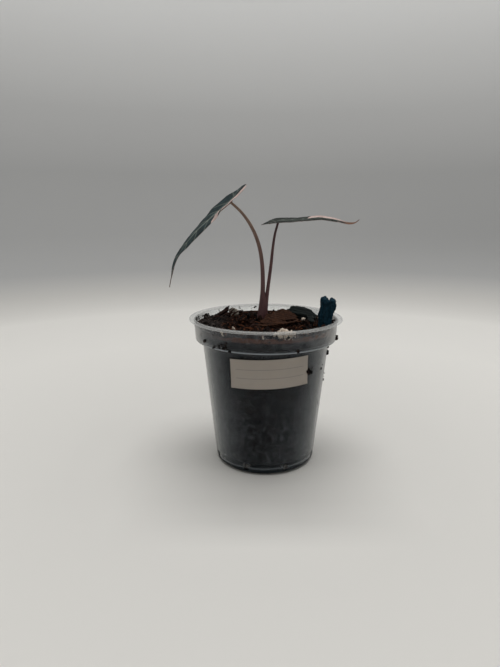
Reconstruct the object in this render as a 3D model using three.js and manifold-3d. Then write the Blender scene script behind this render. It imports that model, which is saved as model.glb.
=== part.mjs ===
// A small bambino alocasia in a clear nursery pot.
// Millimetres, +Z up. The origin is the centre of the circle that the pot stands on, and -Y is the front.
import * as THREE from "three";
import { ConvexGeometry } from "three/addons/geometries/ConvexGeometry.js";
import { mergeVertices } from "three/addons/utils/BufferGeometryUtils.js";
import Module from "manifold-3d";

const wasm = await Module();
wasm.setup();

// Clearance between touching pieces
const GAP = 0.3;

// Pot
const RIM_RADIUS = 38;
const POT_HEIGHT = 73.8;
const LIP_THICKNESS = 1;
const LIP_INNER_RADIUS = 35.2;
const WALL = 0.8;
const COLLAR_TOP_RADIUS = 35.6;
const COLLAR_FOOT_RADIUS = 35;
const LEDGE_Z = 63.5;
const BODY_TOP_RADIUS = 31.7;
const BODY_FOOT_RADIUS = 25.1;
const CORNER = 0.5;
const FOOT_ROUNDING = 2.2;
const FOOT_LIP_RADIUS = 21.6;
const FLOOR_Z = 3.4;
const POT_SEGMENTS = 64;
const DRAIN_SLOTS = 8;
const DRAIN_WIDTH = 2.8;
const DRAIN_TOP_Z = 5.6;
const DRAIN_INNER_RADIUS = 20.4;

// Label
const LABEL_WIDTH = 37.4;
const LABEL_HEIGHT = 14.3;
const LABEL_THICKNESS = 0.3;
const LABEL_Z = 53.1;
const LABEL_TURN = THREE.MathUtils.degToRad(3);
const LABEL_TILT = THREE.MathUtils.degToRad(2.2);
const LABEL_COLUMNS = 14;

// Potting mix
const SOIL_EDGE_Z = 70.9;
const SOIL_MOUND = 1.9;
const SOIL_BACK_DROP = 1.1;
const SOIL_RINGS = 12;
const SOIL_SEGMENTS = 44;
// Waves of the surface: height, turns in radians per millimetre along x and y, and start
const SOIL_WAVES = [
  [0.17, 0.61, 0.53, 0.5],
  [0.17, 0.61, -0.53, 1.3],
  [0.24, 1.13, -0.8, 2.1],
  [0.17, 0.9, 1.7, 1.6],
];
const CRUMBS = 34;
const CRUMB_RADIUS = 0.9;
const CRUMB_SPREAD = 1.3;
const FIBRES = 9;
const FIBRE_RADIUS = 0.5;
const FIBRE_HALF_LENGTH = 3;
const FIBRE_REACH = 30;

// Stalks: centre lines and radii from the corm up
const LEFT_STALK = [
  [-2.6, 1.6, 64.2],
  [-2.7, 1.4, 70],
  [-2.6, 1.2, 74.6],
  [-2.1, 1, 79],
  [-1.5, 1, 86],
  [-1.5, 1, 93],
  [-1.8, 1, 100],
  [-2.9, 1, 107],
  [-4.9, 1, 113.6],
  [-7.5, 1, 119.3],
  [-11.4, 1, 124.2],
  [-16.7, 1, 128.5],
];
const LEFT_STALK_RADII = [1.6, 1.55, 1.45, 1.3, 1.15, 1.05, 0.98, 0.92, 0.86, 0.8, 0.7, 0.6];
const RIGHT_STALK = [
  [0.9, 1.9, 64.2],
  [0.3, 1.6, 70],
  [0, 1.4, 75],
  [0.3, 1.5, 80],
  [0.9, 1.8, 86],
  [1.8, 2.1, 93],
  [2.7, 2.3, 100],
  [3.5, 2.6, 107],
  [4.6, 2.9, 113.8],
  [6, 3, 120],
];
const RIGHT_STALK_RADII = [1.3, 1.25, 1.1, 1, 0.92, 0.85, 0.78, 0.68, 0.6, 0.55];
const STALK_SIDES = 8;
const STALK_STEPS = 22;

// Blades: each midrib runs from between the tips of the lobes, over the stalk, to the blade's own tip
const BLADE_THICKNESS = 0.7;
const LEFT_BLADE = {
  midrib: [
    [-9.8, 3, 137.1],
    [-16.6, 1, 129],
    [-27.4, -1.6, 119.6],
    [-34.9, -4, 111.4],
    [-40.9, -6.4, 103],
    [-44.5, -8.6, 96],
    [-45.9, -10, 89.6],
  ],
  upperSide: [-0.74, -0.27, 0.61],
  lobeLength: 10.6,
  halfWidth: 9.6,
  fold: 0.08,
  foldAtStalk: 0.18,
  waveHeights: { far: 0.1, near: 0.7 },
  waveLength: 17,
  wavePhase: 2.7,
};
const RIGHT_BLADE = {
  midrib: [
    [-1.9, 2, 118.8],
    [6.2, 3, 120.1],
    [16, 3.8, 120.9],
    [26, 4.6, 121.4],
    [34, 5.2, 120.7],
    [40.5, 5.7, 119.3],
    [45.9, 6.1, 120.8],
  ],
  upperSide: [0.02, -0.1, 0.99],
  lobeLength: 8.2,
  halfWidth: 7.8,
  fold: 0.04,
  foldAtStalk: 0.05,
  waveHeights: { far: 0.2, near: 0.25 },
  waveLength: 15,
  wavePhase: 0.8,
};
// The arrow-shaped outline, as parts of the blade's length, lobe length and half width
const OUTLINE = {
  taper: 1.05,
  shoulder: 0.5,
  dripTipStart: 0.14,
  dripTipNarrowing: 0.5,
  lobeNarrowing: 0.2,
  lobeTip: 0.44,
  sinusRounding: 0.08,
};
const FOLD_REACH = 8;
const BLADE_ROWS = 14;
const LOBE_ROWS = 4;
const BLADE_COLUMNS = 3;
const SPINE_STEPS = 240;

// Corm and roots
const CORM_RADIUS = 4.2;
const CORM_TOP = [-0.9, 1.7, 63.9];
const CORM_HEIGHT = 9;
const CROWN_HOLE_RADIUS = 3.1;
const ROOTS = 6;
const ROOT_RADII = [0.8, 0.72, 0.64, 0.56, 0.4];
const ROOT_REACH = [13, 18];
const ROOT_DEPTH = [20, 38];

// Corner points of the convex layers of bark that lie in the mix
const BARK_CHUNK = [
  [
    [3.2, 0.4, 75],
    [7.6, 3.4, 76.7],
    [11.6, 4, 75.8],
    [15.6, 1, 74],
    [14.9, -7, 73.8],
    [8.4, -11.4, 74],
    [1, -9, 74.1],
    [5, -1, 71.8],
    [12, -2, 71.8],
    [6, -7, 71.8],
  ],
  [
    [2.9, -0.3, 71],
    [7.4, 4.2, 70.5],
    [12.5, 4.6, 70.5],
    [16.3, 0, 72.6],
    [15.4, -8.6, 72.9],
    [8.3, -14.6, 73],
    [-3.4, -12.4, 72.8],
    [-1.6, -5.5, 73.4],
    [6, -5, 69.6],
    [13, -4, 69.6],
  ],
];
const DARK_BARK = [
  [
    [11.4, 8, 74.6],
    [13.2, 9.4, 77],
    [16.6, 10, 77.3],
    [20.4, 9.6, 76.9],
    [24, 8.2, 75.4],
    [26.4, 6.2, 72.9],
    [25.6, 3.6, 71.4],
    [13.4, 6.2, 74.4],
    [17, 5.2, 74.6],
    [21.5, 3.4, 73.4],
    [20.5, 3, 70.6],
    [13, 7, 70.2],
    [17, 11, 70.2],
    [24, 8.6, 70.4],
  ],
  [
    [20.9, 4.6, 73.6],
    [24.4, 4.4, 73],
    [21.2, -4.2, 72],
    [23.8, -4.6, 71.8],
    [24.6, 2, 70.4],
    [21.2, 1, 70.2],
  ],
];
const BARK_SLIVER = [
  [
    [-25.4, 12, 72],
    [-23.8, 12.6, 71],
    [-22.6, 11, 70.6],
    [-18.2, 12.2, 77.4],
    [-18.7, 11.3, 77],
    [-20.6, 12.8, 75.8],
    [-23.2, 11, 73.4],
    [-19.6, 12.6, 73.6],
    [-19.8, 11.5, 73.2],
  ],
];
const PALE_CHIP = [
  [
    [-18.9, 12.6, 74.6],
    [-17.2, 12.9, 75.8],
    [-15.2, 12.4, 75.4],
    [-13.8, 12, 73.8],
    [-14.4, 10.6, 72.4],
    [-18.6, 11.3, 72.6],
    [-16.4, 13, 71.4],
    [-16.2, 11, 71],
  ],
];

// Charcoal: its broken outline seen from the front, as x and z
const CHARCOAL_OUTLINE = [
  [25.1, 69.6],
  [25.4, 77],
  [26.4, 82],
  [27.2, 85.1],
  [28, 85.3],
  [28.9, 84.2],
  [29.7, 82.6],
  [30.6, 83],
  [31.3, 84.1],
  [32, 83.4],
  [32.8, 80.9],
  [32, 78.4],
  [31, 75.2],
  [30.4, 69.6],
];
const CHARCOAL_FRONT_Y = -13;
const CHARCOAL_DEPTH = 4.4;
const CHARCOAL_PIT_TOP_Z = 77;

// Perlite
const GRAINS = [
  { name: "perlite_ball", centre: [18.3, -4.5, 73], radii: [1.25, 1.2, 1.15], seed: 3 },
  { name: "perlite_speck", centre: [27.2, 4.4, 72], radii: [0.7, 0.7, 0.6], seed: 4 },
  { name: "perlite_flake", centre: [-15.2, -22.4, 72.2], radii: [1.7, 1.1, 0.7], seed: 5 },
];
// Lumps of the cluster behind the front rim: degrees round from the front, distance out, height and size
const CLUSTER_LUMPS = [
  [6, 32.8, 71.7, 1.5],
  [8.6, 32.3, 72.4, 1.8],
  [11.6, 32.1, 72.9, 2],
  [14.8, 32.1, 72.6, 1.9],
  [18, 32.4, 72.2, 1.7],
  [20.8, 32.7, 71.8, 1.4],
  [9.4, 32.7, 70.6, 1.8],
  [14, 32.6, 70.5, 2],
  [18.2, 32.8, 70.7, 1.8],
];
const LUMP_FLATNESS = 0.8;
const LUMP_SWELL = [0.8, 1.15];

const MATERIALS = {
  clearPlastic: { color: 0xc9cfd0, roughness: 0.25, metalness: 0, transparent: true, opacity: 0.4 },
  paper: { color: 0xe6e2da, roughness: 0.8, metalness: 0 },
  mix: { color: 0x2b1c14, roughness: 0.95, metalness: 0 },
  stalk: { color: 0x5c3a38, roughness: 0.5, metalness: 0 },
  leaf: { color: 0x2b3f3c, roughness: 0.4, metalness: 0 },
  bark: { color: 0x4a3025, roughness: 0.9, metalness: 0 },
  darkBark: { color: 0x20261f, roughness: 0.85, metalness: 0 },
  charcoal: { color: 0x10171f, roughness: 0.7, metalness: 0 },
  perlite: { color: 0xd8cfc0, roughness: 0.9, metalness: 0 },
  corm: { color: 0x8c6b50, roughness: 0.8, metalness: 0 },
};

// A repeatable sequence of numbers between 0 and 1
function randomFrom(seed) {
  let state = seed;
  return () => {
    state = (state + 0x6d2b79f5) | 0;
    let t = Math.imul(state ^ (state >>> 15), 1 | state);
    t = (t + Math.imul(t ^ (t >>> 7), 61 | t)) ^ t;
    return ((t ^ (t >>> 14)) >>> 0) / 4294967296;
  };
}

function between([low, high], part) {
  return THREE.MathUtils.lerp(low, high, part);
}

// A random place on a disc
function placeOnDisc(reach, random) {
  const r = reach * Math.sqrt(random());
  const a = 2 * Math.PI * random();
  return [r * Math.cos(a), r * Math.sin(a)];
}

// Only the positions of a geometry, with shared corners merged
function bareGeometry(geometry) {
  const bare = geometry.clone();
  bare.deleteAttribute("normal");
  bare.deleteAttribute("uv");
  return mergeVertices(bare, 1e-4);
}

function toSolid(geometry) {
  const merged = bareGeometry(geometry);
  const index = merged.index.array;
  const triangles = [];
  for (let i = 0; i < index.length; i += 3) {
    const [a, b, c] = [index[i], index[i + 1], index[i + 2]];
    if (a !== b && b !== c && c !== a) triangles.push(a, b, c);
  }
  return new wasm.Manifold(
    new wasm.Mesh({
      numProp: 3,
      vertProperties: new Float32Array(merged.attributes.position.array),
      triVerts: new Uint32Array(triangles),
    }),
  );
}

function fromLists(positions, triangles) {
  const geometry = new THREE.BufferGeometry();
  geometry.setAttribute("position", new THREE.Float32BufferAttribute(positions, 3));
  geometry.setIndex(triangles);
  return geometry;
}

// The biggest body of a solid, without the loose scraps that a cut can leave
function largest(solid) {
  return solid.decompose().sort((a, b) => b.volume() - a.volume())[0];
}

function toMesh(name, solid, material) {
  const made = solid.getMesh();
  const geometry = fromLists(Array.from(made.vertProperties), Array.from(made.triVerts));
  geometry.computeVertexNormals();
  const finish = new THREE.MeshStandardMaterial({ ...MATERIALS[material], flatShading: true });
  const mesh = new THREE.Mesh(geometry, finish);
  mesh.name = name;
  return mesh;
}

function vectors(points) {
  return points.map((p) => new THREE.Vector3(...p));
}

// A solid of revolution about +Z from pairs of radius and height that go out along the bottom and up
function turned(profile, segments) {
  const points = profile.map(([r, z]) => new THREE.Vector2(r, z));
  return new THREE.LatheGeometry(points, segments).rotateX(Math.PI / 2);
}

// A closed tube between rings of equal size, each ring a list of points
function skin(rings) {
  const sides = rings[0].length;
  const end = (rings.length - 1) * sides;
  const triangles = [];
  for (let i = 0; i < end; i += sides) {
    for (let j = 0; j < sides; j++) {
      const a = i + j;
      const b = i + ((j + 1) % sides);
      triangles.push(a, b, b + sides, a, b + sides, a + sides);
    }
  }
  for (let j = 1; j < sides - 1; j++) triangles.push(0, j + 1, j, end, end + j, end + j + 1);
  return toSolid(fromLists(rings.flat(2), triangles));
}

// A round tapering rod along a smooth line, widened by extra all round
function rod(points, radii, sides, steps, extra = 0) {
  const line = new THREE.CatmullRomCurve3(vectors(points));
  const frames = line.computeFrenetFrames(steps, false);
  const rings = [];
  for (let i = 0; i <= steps; i++) {
    const centre = line.getPointAt(i / steps);
    const place = line.getUtoTmapping(i / steps) * (radii.length - 1);
    const k = Math.min(Math.floor(place), radii.length - 2);
    const radius = between([radii[k], radii[k + 1]], place - k) + extra;
    const ring = [];
    for (let j = 0; j < sides; j++) {
      const a = (2 * Math.PI * j) / sides;
      const corner = centre
        .clone()
        .addScaledVector(frames.normals[i], radius * Math.cos(a))
        .addScaledVector(frames.binormals[i], radius * Math.sin(a));
      ring.push(corner.toArray());
    }
    rings.push(ring);
  }
  return skin(rings);
}

// The convex solid round a set of points, each of them widened by extra along each axis
function hull(points, extra) {
  const spread = [...points];
  for (const [x, y, z] of points) {
    for (const d of [-extra, extra]) spread.push([x + d, y, z], [x, y + d, z], [x, y, z + d]);
  }
  return toSolid(new ConvexGeometry(vectors(spread)));
}

function layers(sets, extra) {
  return wasm.Manifold.union(sets.map((points) => hull(points, extra)));
}

// A rough lump: a faceted ball with its corners moved in and out
function lump(centre, radii, random) {
  const geometry = bareGeometry(new THREE.IcosahedronGeometry(1, 0));
  const place = geometry.attributes.position;
  const turn = new THREE.Euler(3 * random(), 3 * random(), 3 * random());
  for (let i = 0; i < place.count; i++) {
    const p = new THREE.Vector3().fromBufferAttribute(place, i);
    p.multiplyScalar(between(LUMP_SWELL, random())).multiply(new THREE.Vector3(...radii));
    p.applyEuler(turn).add(new THREE.Vector3(...centre));
    place.setXYZ(i, p.x, p.y, p.z);
  }
  return toSolid(geometry);
}

// The outer radius of the pot's tapered wall
function bodyRadiusAt(z) {
  return between([BODY_FOOT_RADIUS, BODY_TOP_RADIUS], z / LEDGE_Z);
}

function drainSlot(turn) {
  const low = FLOOR_Z - 2 * WALL;
  const depth = BODY_TOP_RADIUS - DRAIN_INNER_RADIUS;
  const slot = new THREE.BoxGeometry(DRAIN_WIDTH, depth, DRAIN_TOP_Z - low);
  slot.translate(0, -DRAIN_INNER_RADIUS - depth / 2, (DRAIN_TOP_Z + low) / 2);
  return toSolid(slot.rotateZ(turn));
}

function makePot() {
  const underLip = POT_HEIGHT - LIP_THICKNESS;
  const footCentre = bodyRadiusAt(FOOT_ROUNDING) - FOOT_ROUNDING;
  const foot = [-90, -60, -30, 0].map((degrees) => {
    const a = THREE.MathUtils.degToRad(degrees);
    return [footCentre + FOOT_ROUNDING * Math.cos(a), FOOT_ROUNDING * (1 + Math.sin(a))];
  });
  const profile = [
    [0, FLOOR_Z - WALL],
    [footCentre + CORNER, FLOOR_Z - WALL],
    [footCentre, WALL],
    [FOOT_LIP_RADIUS, WALL],
    [FOOT_LIP_RADIUS, 0],
    ...foot,
    [bodyRadiusAt(LEDGE_Z - CORNER), LEDGE_Z - CORNER],
    [BODY_TOP_RADIUS + CORNER, LEDGE_Z],
    [COLLAR_FOOT_RADIUS - CORNER, LEDGE_Z],
    [COLLAR_FOOT_RADIUS, LEDGE_Z + CORNER],
    [COLLAR_TOP_RADIUS, underLip],
    [RIM_RADIUS - CORNER, underLip],
    [RIM_RADIUS, underLip + LIP_THICKNESS / 2],
    [RIM_RADIUS - CORNER, POT_HEIGHT],
    [LIP_INNER_RADIUS, POT_HEIGHT],
    [COLLAR_TOP_RADIUS - WALL, underLip],
    [COLLAR_FOOT_RADIUS - WALL, LEDGE_Z + WALL + CORNER],
    [COLLAR_FOOT_RADIUS - WALL - CORNER, LEDGE_Z + WALL],
    [BODY_TOP_RADIUS - WALL + CORNER, LEDGE_Z + WALL],
    [BODY_TOP_RADIUS - WALL, LEDGE_Z],
    [bodyRadiusAt(FLOOR_Z) - WALL, FLOOR_Z],
    [0, FLOOR_Z],
  ];
  let pot = toSolid(turned(profile, POT_SEGMENTS));
  for (let k = 0; k < DRAIN_SLOTS; k++) {
    pot = pot.subtract(drainSlot(((k + 0.5) * 2 * Math.PI) / DRAIN_SLOTS));
  }
  return pot;
}

// A point of the label, given as millimetres across and up its paper and out from the wall
function labelPoint(across, up, out) {
  const slope = Math.atan2(BODY_TOP_RADIUS - BODY_FOOT_RADIUS, LEDGE_Z);
  const flat = new THREE.Vector2(across, up).rotateAround(new THREE.Vector2(), LABEL_TILT);
  const z = LABEL_Z + flat.y * Math.cos(slope);
  const turn = LABEL_TURN + flat.x / bodyRadiusAt(z);
  const r = bodyRadiusAt(z) + out;
  return [r * Math.sin(turn), -r * Math.cos(turn), z];
}

function makeLabel() {
  const [up, outer] = [LABEL_HEIGHT / 2, GAP + LABEL_THICKNESS];
  const rings = [];
  for (let i = 0; i <= LABEL_COLUMNS; i++) {
    const across = LABEL_WIDTH * (i / LABEL_COLUMNS - 0.5);
    rings.push([
      labelPoint(across, -up, GAP),
      labelPoint(across, up, GAP),
      labelPoint(across, up, outer),
      labelPoint(across, -up, outer),
    ]);
  }
  return skin(rings);
}

function soilHeight(x, y) {
  const out = Math.hypot(x, y) / COLLAR_TOP_RADIUS;
  const back = THREE.MathUtils.smoothstep(y, 0, COLLAR_TOP_RADIUS);
  let z = SOIL_EDGE_Z + SOIL_MOUND * (1 - out * out) - SOIL_BACK_DROP * back;
  for (const [height, alongX, alongY, start] of SOIL_WAVES) {
    z += height * Math.sin(alongX * x + alongY * y + start);
  }
  return z;
}

function makeSoilBody() {
  const inset = WALL + GAP;
  const [low, ledge] = [FLOOR_Z + GAP, LEDGE_Z + inset];
  const profile = [
    [0, low],
    [bodyRadiusAt(low) - inset, low],
    [BODY_TOP_RADIUS - inset, LEDGE_Z],
    [BODY_TOP_RADIUS - inset, ledge],
    [COLLAR_FOOT_RADIUS - inset - CORNER, ledge],
    [COLLAR_FOOT_RADIUS - inset, ledge + CORNER],
  ];
  const firstTop = profile.length;
  for (let k = SOIL_RINGS; k >= 0; k--) {
    profile.push([((COLLAR_TOP_RADIUS - inset) * k) / SOIL_RINGS, POT_HEIGHT]);
  }
  const geometry = turned(profile, SOIL_SEGMENTS);
  const place = geometry.attributes.position;
  for (let i = 0; i < place.count; i++) {
    if (i % profile.length >= firstTop) place.setZ(i, soilHeight(place.getX(i), place.getY(i)));
  }
  return toSolid(geometry);
}

function makeCrumb(random) {
  const size = CRUMB_RADIUS + CRUMB_SPREAD * random() ** 2;
  const [x, y] = placeOnDisc(FIBRE_REACH + CRUMB_RADIUS - size / 2, random);
  const radii = [size, size * between(LUMP_SWELL, random()), size * LUMP_FLATNESS];
  return lump([x, y, soilHeight(x, y)], radii, random);
}

// A bent fibre, with both its ends in the mix
function makeFibre(random) {
  const [x, y] = placeOnDisc(FIBRE_REACH - FIBRE_HALF_LENGTH, random);
  const turn = 2 * Math.PI * random();
  const line = [-1, 0, 1].map((end) => {
    const ex = x + end * FIBRE_HALF_LENGTH * Math.cos(turn);
    const ey = y + end * FIBRE_HALF_LENGTH * Math.sin(turn);
    return [ex, ey, soilHeight(ex, ey) + (end === 0 ? FIBRE_RADIUS : -FIBRE_RADIUS)];
  });
  return rod(line, [FIBRE_RADIUS, FIBRE_RADIUS], 5, 4);
}

// Half the blade's width at a distance s from the stalk, positive towards the tip
function bladeEdge(s, blade, length) {
  if (s < 0) {
    const t = -s / blade.lobeLength;
    const tipNarrowing = 1 - OUTLINE.lobeNarrowing - OUTLINE.lobeTip;
    return blade.halfWidth * (1 - OUTLINE.lobeNarrowing * t - tipNarrowing * t ** 3);
  }
  const left = Math.max(0, 1 - s / length);
  const dripTip = 1 - OUTLINE.dripTipNarrowing * Math.exp(-((left / OUTLINE.dripTipStart) ** 2));
  return blade.halfWidth * left ** OUTLINE.taper * (1 + OUTLINE.shoulder * (1 - left)) * dripTip;
}

// The edge of the gap between the lobes, which is the midrib ahead of the stalk
function sinusEdge(s, blade) {
  const t = Math.max(0, -s / blade.lobeLength);
  const straight = OUTLINE.lobeTip - OUTLINE.sinusRounding;
  return blade.halfWidth * (OUTLINE.sinusRounding * Math.sqrt(t) + straight * t);
}

// The blade's curved middle surface, as a function of the distances s along the midrib and u across it
function bladeSurface(blade) {
  const spine = new THREE.CatmullRomCurve3(vectors(blade.midrib));
  const lengths = spine.getLengths(SPINE_STEPS);
  const whole = lengths[SPINE_STEPS];
  const stalkAt = lengths[Math.round(SPINE_STEPS / (blade.midrib.length - 1))];
  const upper = new THREE.Vector3(...blade.upperSide).normalize();
  const point = (s, u, above) => {
    const along = THREE.MathUtils.clamp((s + stalkAt) / whole, 0, 1);
    const forward = spine.getTangentAt(along);
    const across = upper.clone().cross(forward).normalize();
    const up = forward.clone().cross(across);
    const part = Math.abs(u) / blade.halfWidth;
    const height = u > 0 ? blade.waveHeights.near : blade.waveHeights.far;
    const wave = height * Math.sin((2 * Math.PI * s) / blade.waveLength + blade.wavePhase);
    const fold = between([blade.fold, blade.foldAtStalk], Math.exp(-((s / FOLD_REACH) ** 2)));
    const lift = fold * Math.abs(u) + wave * part * part + above;
    return spine.getPointAt(along).addScaledVector(across, u).addScaledVector(up, lift);
  };
  return { point, length: whole - stalkAt };
}

// A thin sheet: rows of corners across each half of the blade, alike on both faces
function makeBlade(blade, thickness) {
  const { point, length } = bladeSurface(blade);
  const stations = [];
  for (let k = LOBE_ROWS; k > 0; k--) stations.push((-blade.lobeLength * k) / LOBE_ROWS);
  for (let k = 0; k <= BLADE_ROWS; k++) stations.push((length * k) / BLADE_ROWS);
  const positions = [];
  const known = new Map();
  const corner = (row, column, side) => {
    const s = stations[row];
    const u = side * between([sinusEdge(s, blade), bladeEdge(s, blade, length)], column / BLADE_COLUMNS);
    const key = `${row},${u.toFixed(4)}`;
    if (!known.has(key)) {
      known.set(key, known.size);
      for (const above of [thickness / 2, -thickness / 2]) positions.push(...point(s, u, above).toArray());
    }
    return known.get(key);
  };
  const faces = [];
  for (const side of [-1, 1]) {
    for (let row = 0; row < stations.length - 1; row++) {
      for (let column = 0; column < BLADE_COLUMNS; column++) {
        const inner = [corner(row, column, side), corner(row + 1, column, side)];
        const outer = [corner(row, column + 1, side), corner(row + 1, column + 1, side)];
        const [a, b, c, d] = [inner[0], inner[1], outer[1], outer[0]];
        if (side > 0) faces.push([a, b, c], [a, c, d]);
        else faces.push([d, c, b], [d, b, a]);
      }
    }
  }
  return sheet(positions, faces.filter(([a, b, c]) => a !== b && b !== c && c !== a));
}

// A solid from matching upper and lower corners in turn, with walls along the open edges of its faces
function sheet(positions, faces) {
  const triangles = [];
  const open = new Map();
  for (const face of faces) {
    const [a, b, c] = face.map((corner) => 2 * corner);
    triangles.push(a, b, c, a + 1, c + 1, b + 1);
    for (const [from, to] of [[a, b], [b, c], [c, a]]) {
      if (!open.delete(`${to},${from}`)) open.set(`${from},${to}`, [from, to]);
    }
  }
  for (const [a, b] of open.values()) triangles.push(b, a, a + 1, b, a + 1, b + 1);
  return toSolid(fromLists(positions, triangles));
}

function makeRoot(k, random, extra) {
  const [x, y, top] = CORM_TOP;
  const start = (2 * Math.PI * (k + 0.4 * random())) / ROOTS;
  const reach = between(ROOT_REACH, random());
  const depth = between(ROOT_DEPTH, random());
  const line = [0.04, 0.3, 0.6, 0.8, 1].map((t) => {
    const turn = start + 0.5 * Math.sin(4 * t + k);
    const r = reach * Math.sin((t * Math.PI) / 2);
    return [x + r * Math.cos(turn), y + r * Math.sin(turn), top - CORM_HEIGHT / 2 - depth * t * t];
  });
  return rod(line, ROOT_RADII, 5, 6, extra);
}

function makeRootstock(extra) {
  const random = randomFrom(23);
  const corm = new THREE.SphereGeometry(1, 10, 6).rotateX(Math.PI / 2);
  corm.scale(CORM_RADIUS + extra, CORM_RADIUS + extra, CORM_HEIGHT / 2 + extra);
  corm.translate(...CORM_TOP).translate(0, 0, -CORM_HEIGHT / 2);
  const pieces = [toSolid(corm)];
  for (let k = 0; k < ROOTS; k++) pieces.push(makeRoot(k, random, extra));
  return wasm.Manifold.union(pieces);
}

function makeCharcoal() {
  const outline = new THREE.Shape(CHARCOAL_OUTLINE.map(([x, z]) => new THREE.Vector2(x, z)));
  const slab = new THREE.ExtrudeGeometry(outline, { depth: CHARCOAL_DEPTH, bevelEnabled: false });
  slab.rotateX(Math.PI / 2).translate(0, CHARCOAL_FRONT_Y + CHARCOAL_DEPTH, 0);
  return toSolid(slab);
}

function charcoalPit() {
  const buried = CHARCOAL_OUTLINE.filter(([, z]) => z <= CHARCOAL_PIT_TOP_Z);
  const back = CHARCOAL_FRONT_Y + CHARCOAL_DEPTH;
  return hull(buried.flatMap(([x, z]) => [[x, CHARCOAL_FRONT_Y, z], [x, back, z]]), GAP);
}

// The space inside the collar and above it, less the clearance
function collarSpace() {
  const inset = WALL + GAP;
  const top = 2 * POT_HEIGHT;
  const profile = [
    [0, LEDGE_Z],
    [COLLAR_FOOT_RADIUS - inset, LEDGE_Z],
    [COLLAR_TOP_RADIUS - inset, POT_HEIGHT - LIP_THICKNESS],
    [COLLAR_TOP_RADIUS - inset, top],
    [0, top],
  ];
  return toSolid(turned(profile, POT_SEGMENTS));
}

function makeCluster(extra) {
  const random = randomFrom(31);
  const pieces = CLUSTER_LUMPS.map(([degrees, r, z, size]) => {
    const turn = THREE.MathUtils.degToRad(degrees);
    const radii = [size + extra, size + extra, size * LUMP_FLATNESS + extra];
    return lump([r * Math.sin(turn), -r * Math.cos(turn), z], radii, random);
  });
  return wasm.Manifold.union(pieces);
}

function makeGrain({ centre, radii, seed }, extra) {
  return lump(centre, radii.map((r) => r + extra), randomFrom(seed));
}

function makeLeftStalk(extra) {
  return rod(LEFT_STALK, LEFT_STALK_RADII, STALK_SIDES, STALK_STEPS, extra);
}

function makeRightStalk(extra) {
  return rod(RIGHT_STALK, RIGHT_STALK_RADII, STALK_SIDES, STALK_STEPS, extra);
}

// The hole where the stalks stand on the corm
function crownHole() {
  const hole = new THREE.CylinderGeometry(CROWN_HOLE_RADIUS, CROWN_HOLE_RADIUS, CORM_HEIGHT / 2, 12);
  return toSolid(hole.rotateX(Math.PI / 2).translate(...CORM_TOP));
}

// The mix with its crumbs and fibres, and with a hole or a pit, open to the top, for each piece that it holds
function makeSoil() {
  const random = randomFrom(7);
  const pieces = [makeSoilBody()];
  for (let i = 0; i < CRUMBS; i++) pieces.push(makeCrumb(random));
  for (let i = 0; i < FIBRES; i++) pieces.push(makeFibre(random));
  const pits = [
    crownHole(),
    makeLeftStalk(GAP),
    makeRightStalk(GAP),
    makeRootstock(GAP),
    charcoalPit(),
    makeCluster(1.5 * GAP),
    ...[BARK_CHUNK, DARK_BARK, BARK_SLIVER, PALE_CHIP].map((sets) => layers(sets, GAP)),
    ...GRAINS.map((grain) => makeGrain(grain, GAP)),
  ];
  return largest(wasm.Manifold.union(pieces).subtract(wasm.Manifold.union(pits)));
}

const clearOfBlade = BLADE_THICKNESS + 2 * GAP;
const leftStalk = makeLeftStalk(0)
  .subtract(makeRightStalk(GAP))
  .subtract(makeBlade(LEFT_BLADE, clearOfBlade));
const rightStalk = makeRightStalk(0).subtract(makeBlade(RIGHT_BLADE, clearOfBlade));

const part = new THREE.Group();
part.add(toMesh("pot", makePot(), "clearPlastic"));
part.add(toMesh("label", makeLabel(), "paper"));
part.add(toMesh("soil", makeSoil(), "mix"));
part.add(toMesh("rootstock", makeRootstock(0), "corm"));
part.add(toMesh("petiole_left", largest(leftStalk), "stalk"));
part.add(toMesh("petiole_right", largest(rightStalk), "stalk"));
part.add(toMesh("blade_left", makeBlade(LEFT_BLADE, BLADE_THICKNESS), "leaf"));
part.add(toMesh("blade_right", makeBlade(RIGHT_BLADE, BLADE_THICKNESS), "leaf"));
part.add(toMesh("bark_chunk", layers(BARK_CHUNK, 0), "bark"));
part.add(toMesh("dark_bark", layers(DARK_BARK, 0), "darkBark"));
part.add(toMesh("charcoal", makeCharcoal(), "charcoal"));
part.add(toMesh("bark_sliver", layers(BARK_SLIVER, 0), "darkBark"));
part.add(toMesh("pale_chip", layers(PALE_CHIP, 0), "perlite"));
part.add(toMesh("perlite_cluster", largest(makeCluster(0).intersect(collarSpace())), "perlite"));
for (const grain of GRAINS) part.add(toMesh(grain.name, makeGrain(grain, 0), "perlite"));

export default part;
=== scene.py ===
"""Dresses a small potted alocasia: clear nursery pot, potting mix, label, stalks and arrow-shaped leaves."""

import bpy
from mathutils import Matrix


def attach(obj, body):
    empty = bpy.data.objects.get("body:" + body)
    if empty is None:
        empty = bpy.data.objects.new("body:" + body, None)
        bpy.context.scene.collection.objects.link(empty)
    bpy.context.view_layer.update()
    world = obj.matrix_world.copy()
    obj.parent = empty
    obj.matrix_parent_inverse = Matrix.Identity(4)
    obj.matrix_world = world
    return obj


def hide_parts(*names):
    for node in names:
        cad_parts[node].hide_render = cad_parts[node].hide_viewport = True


bl_info = {
    "name": "Potted alocasia",
    "version": (1, 0, 0),
    "blender": (4, 5, 0),
    "location": "View3D > Sidebar > Plant",
    "description": "Builds a small alocasia in a clear nursery pot on a plain studio floor",
    "category": "Add Mesh",
}

import math

import bmesh
import bpy
import numpy as np
from bpy.props import FloatProperty, FloatVectorProperty, IntProperty, PointerProperty
from mathutils import Vector, bvhtree, kdtree, noise

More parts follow.
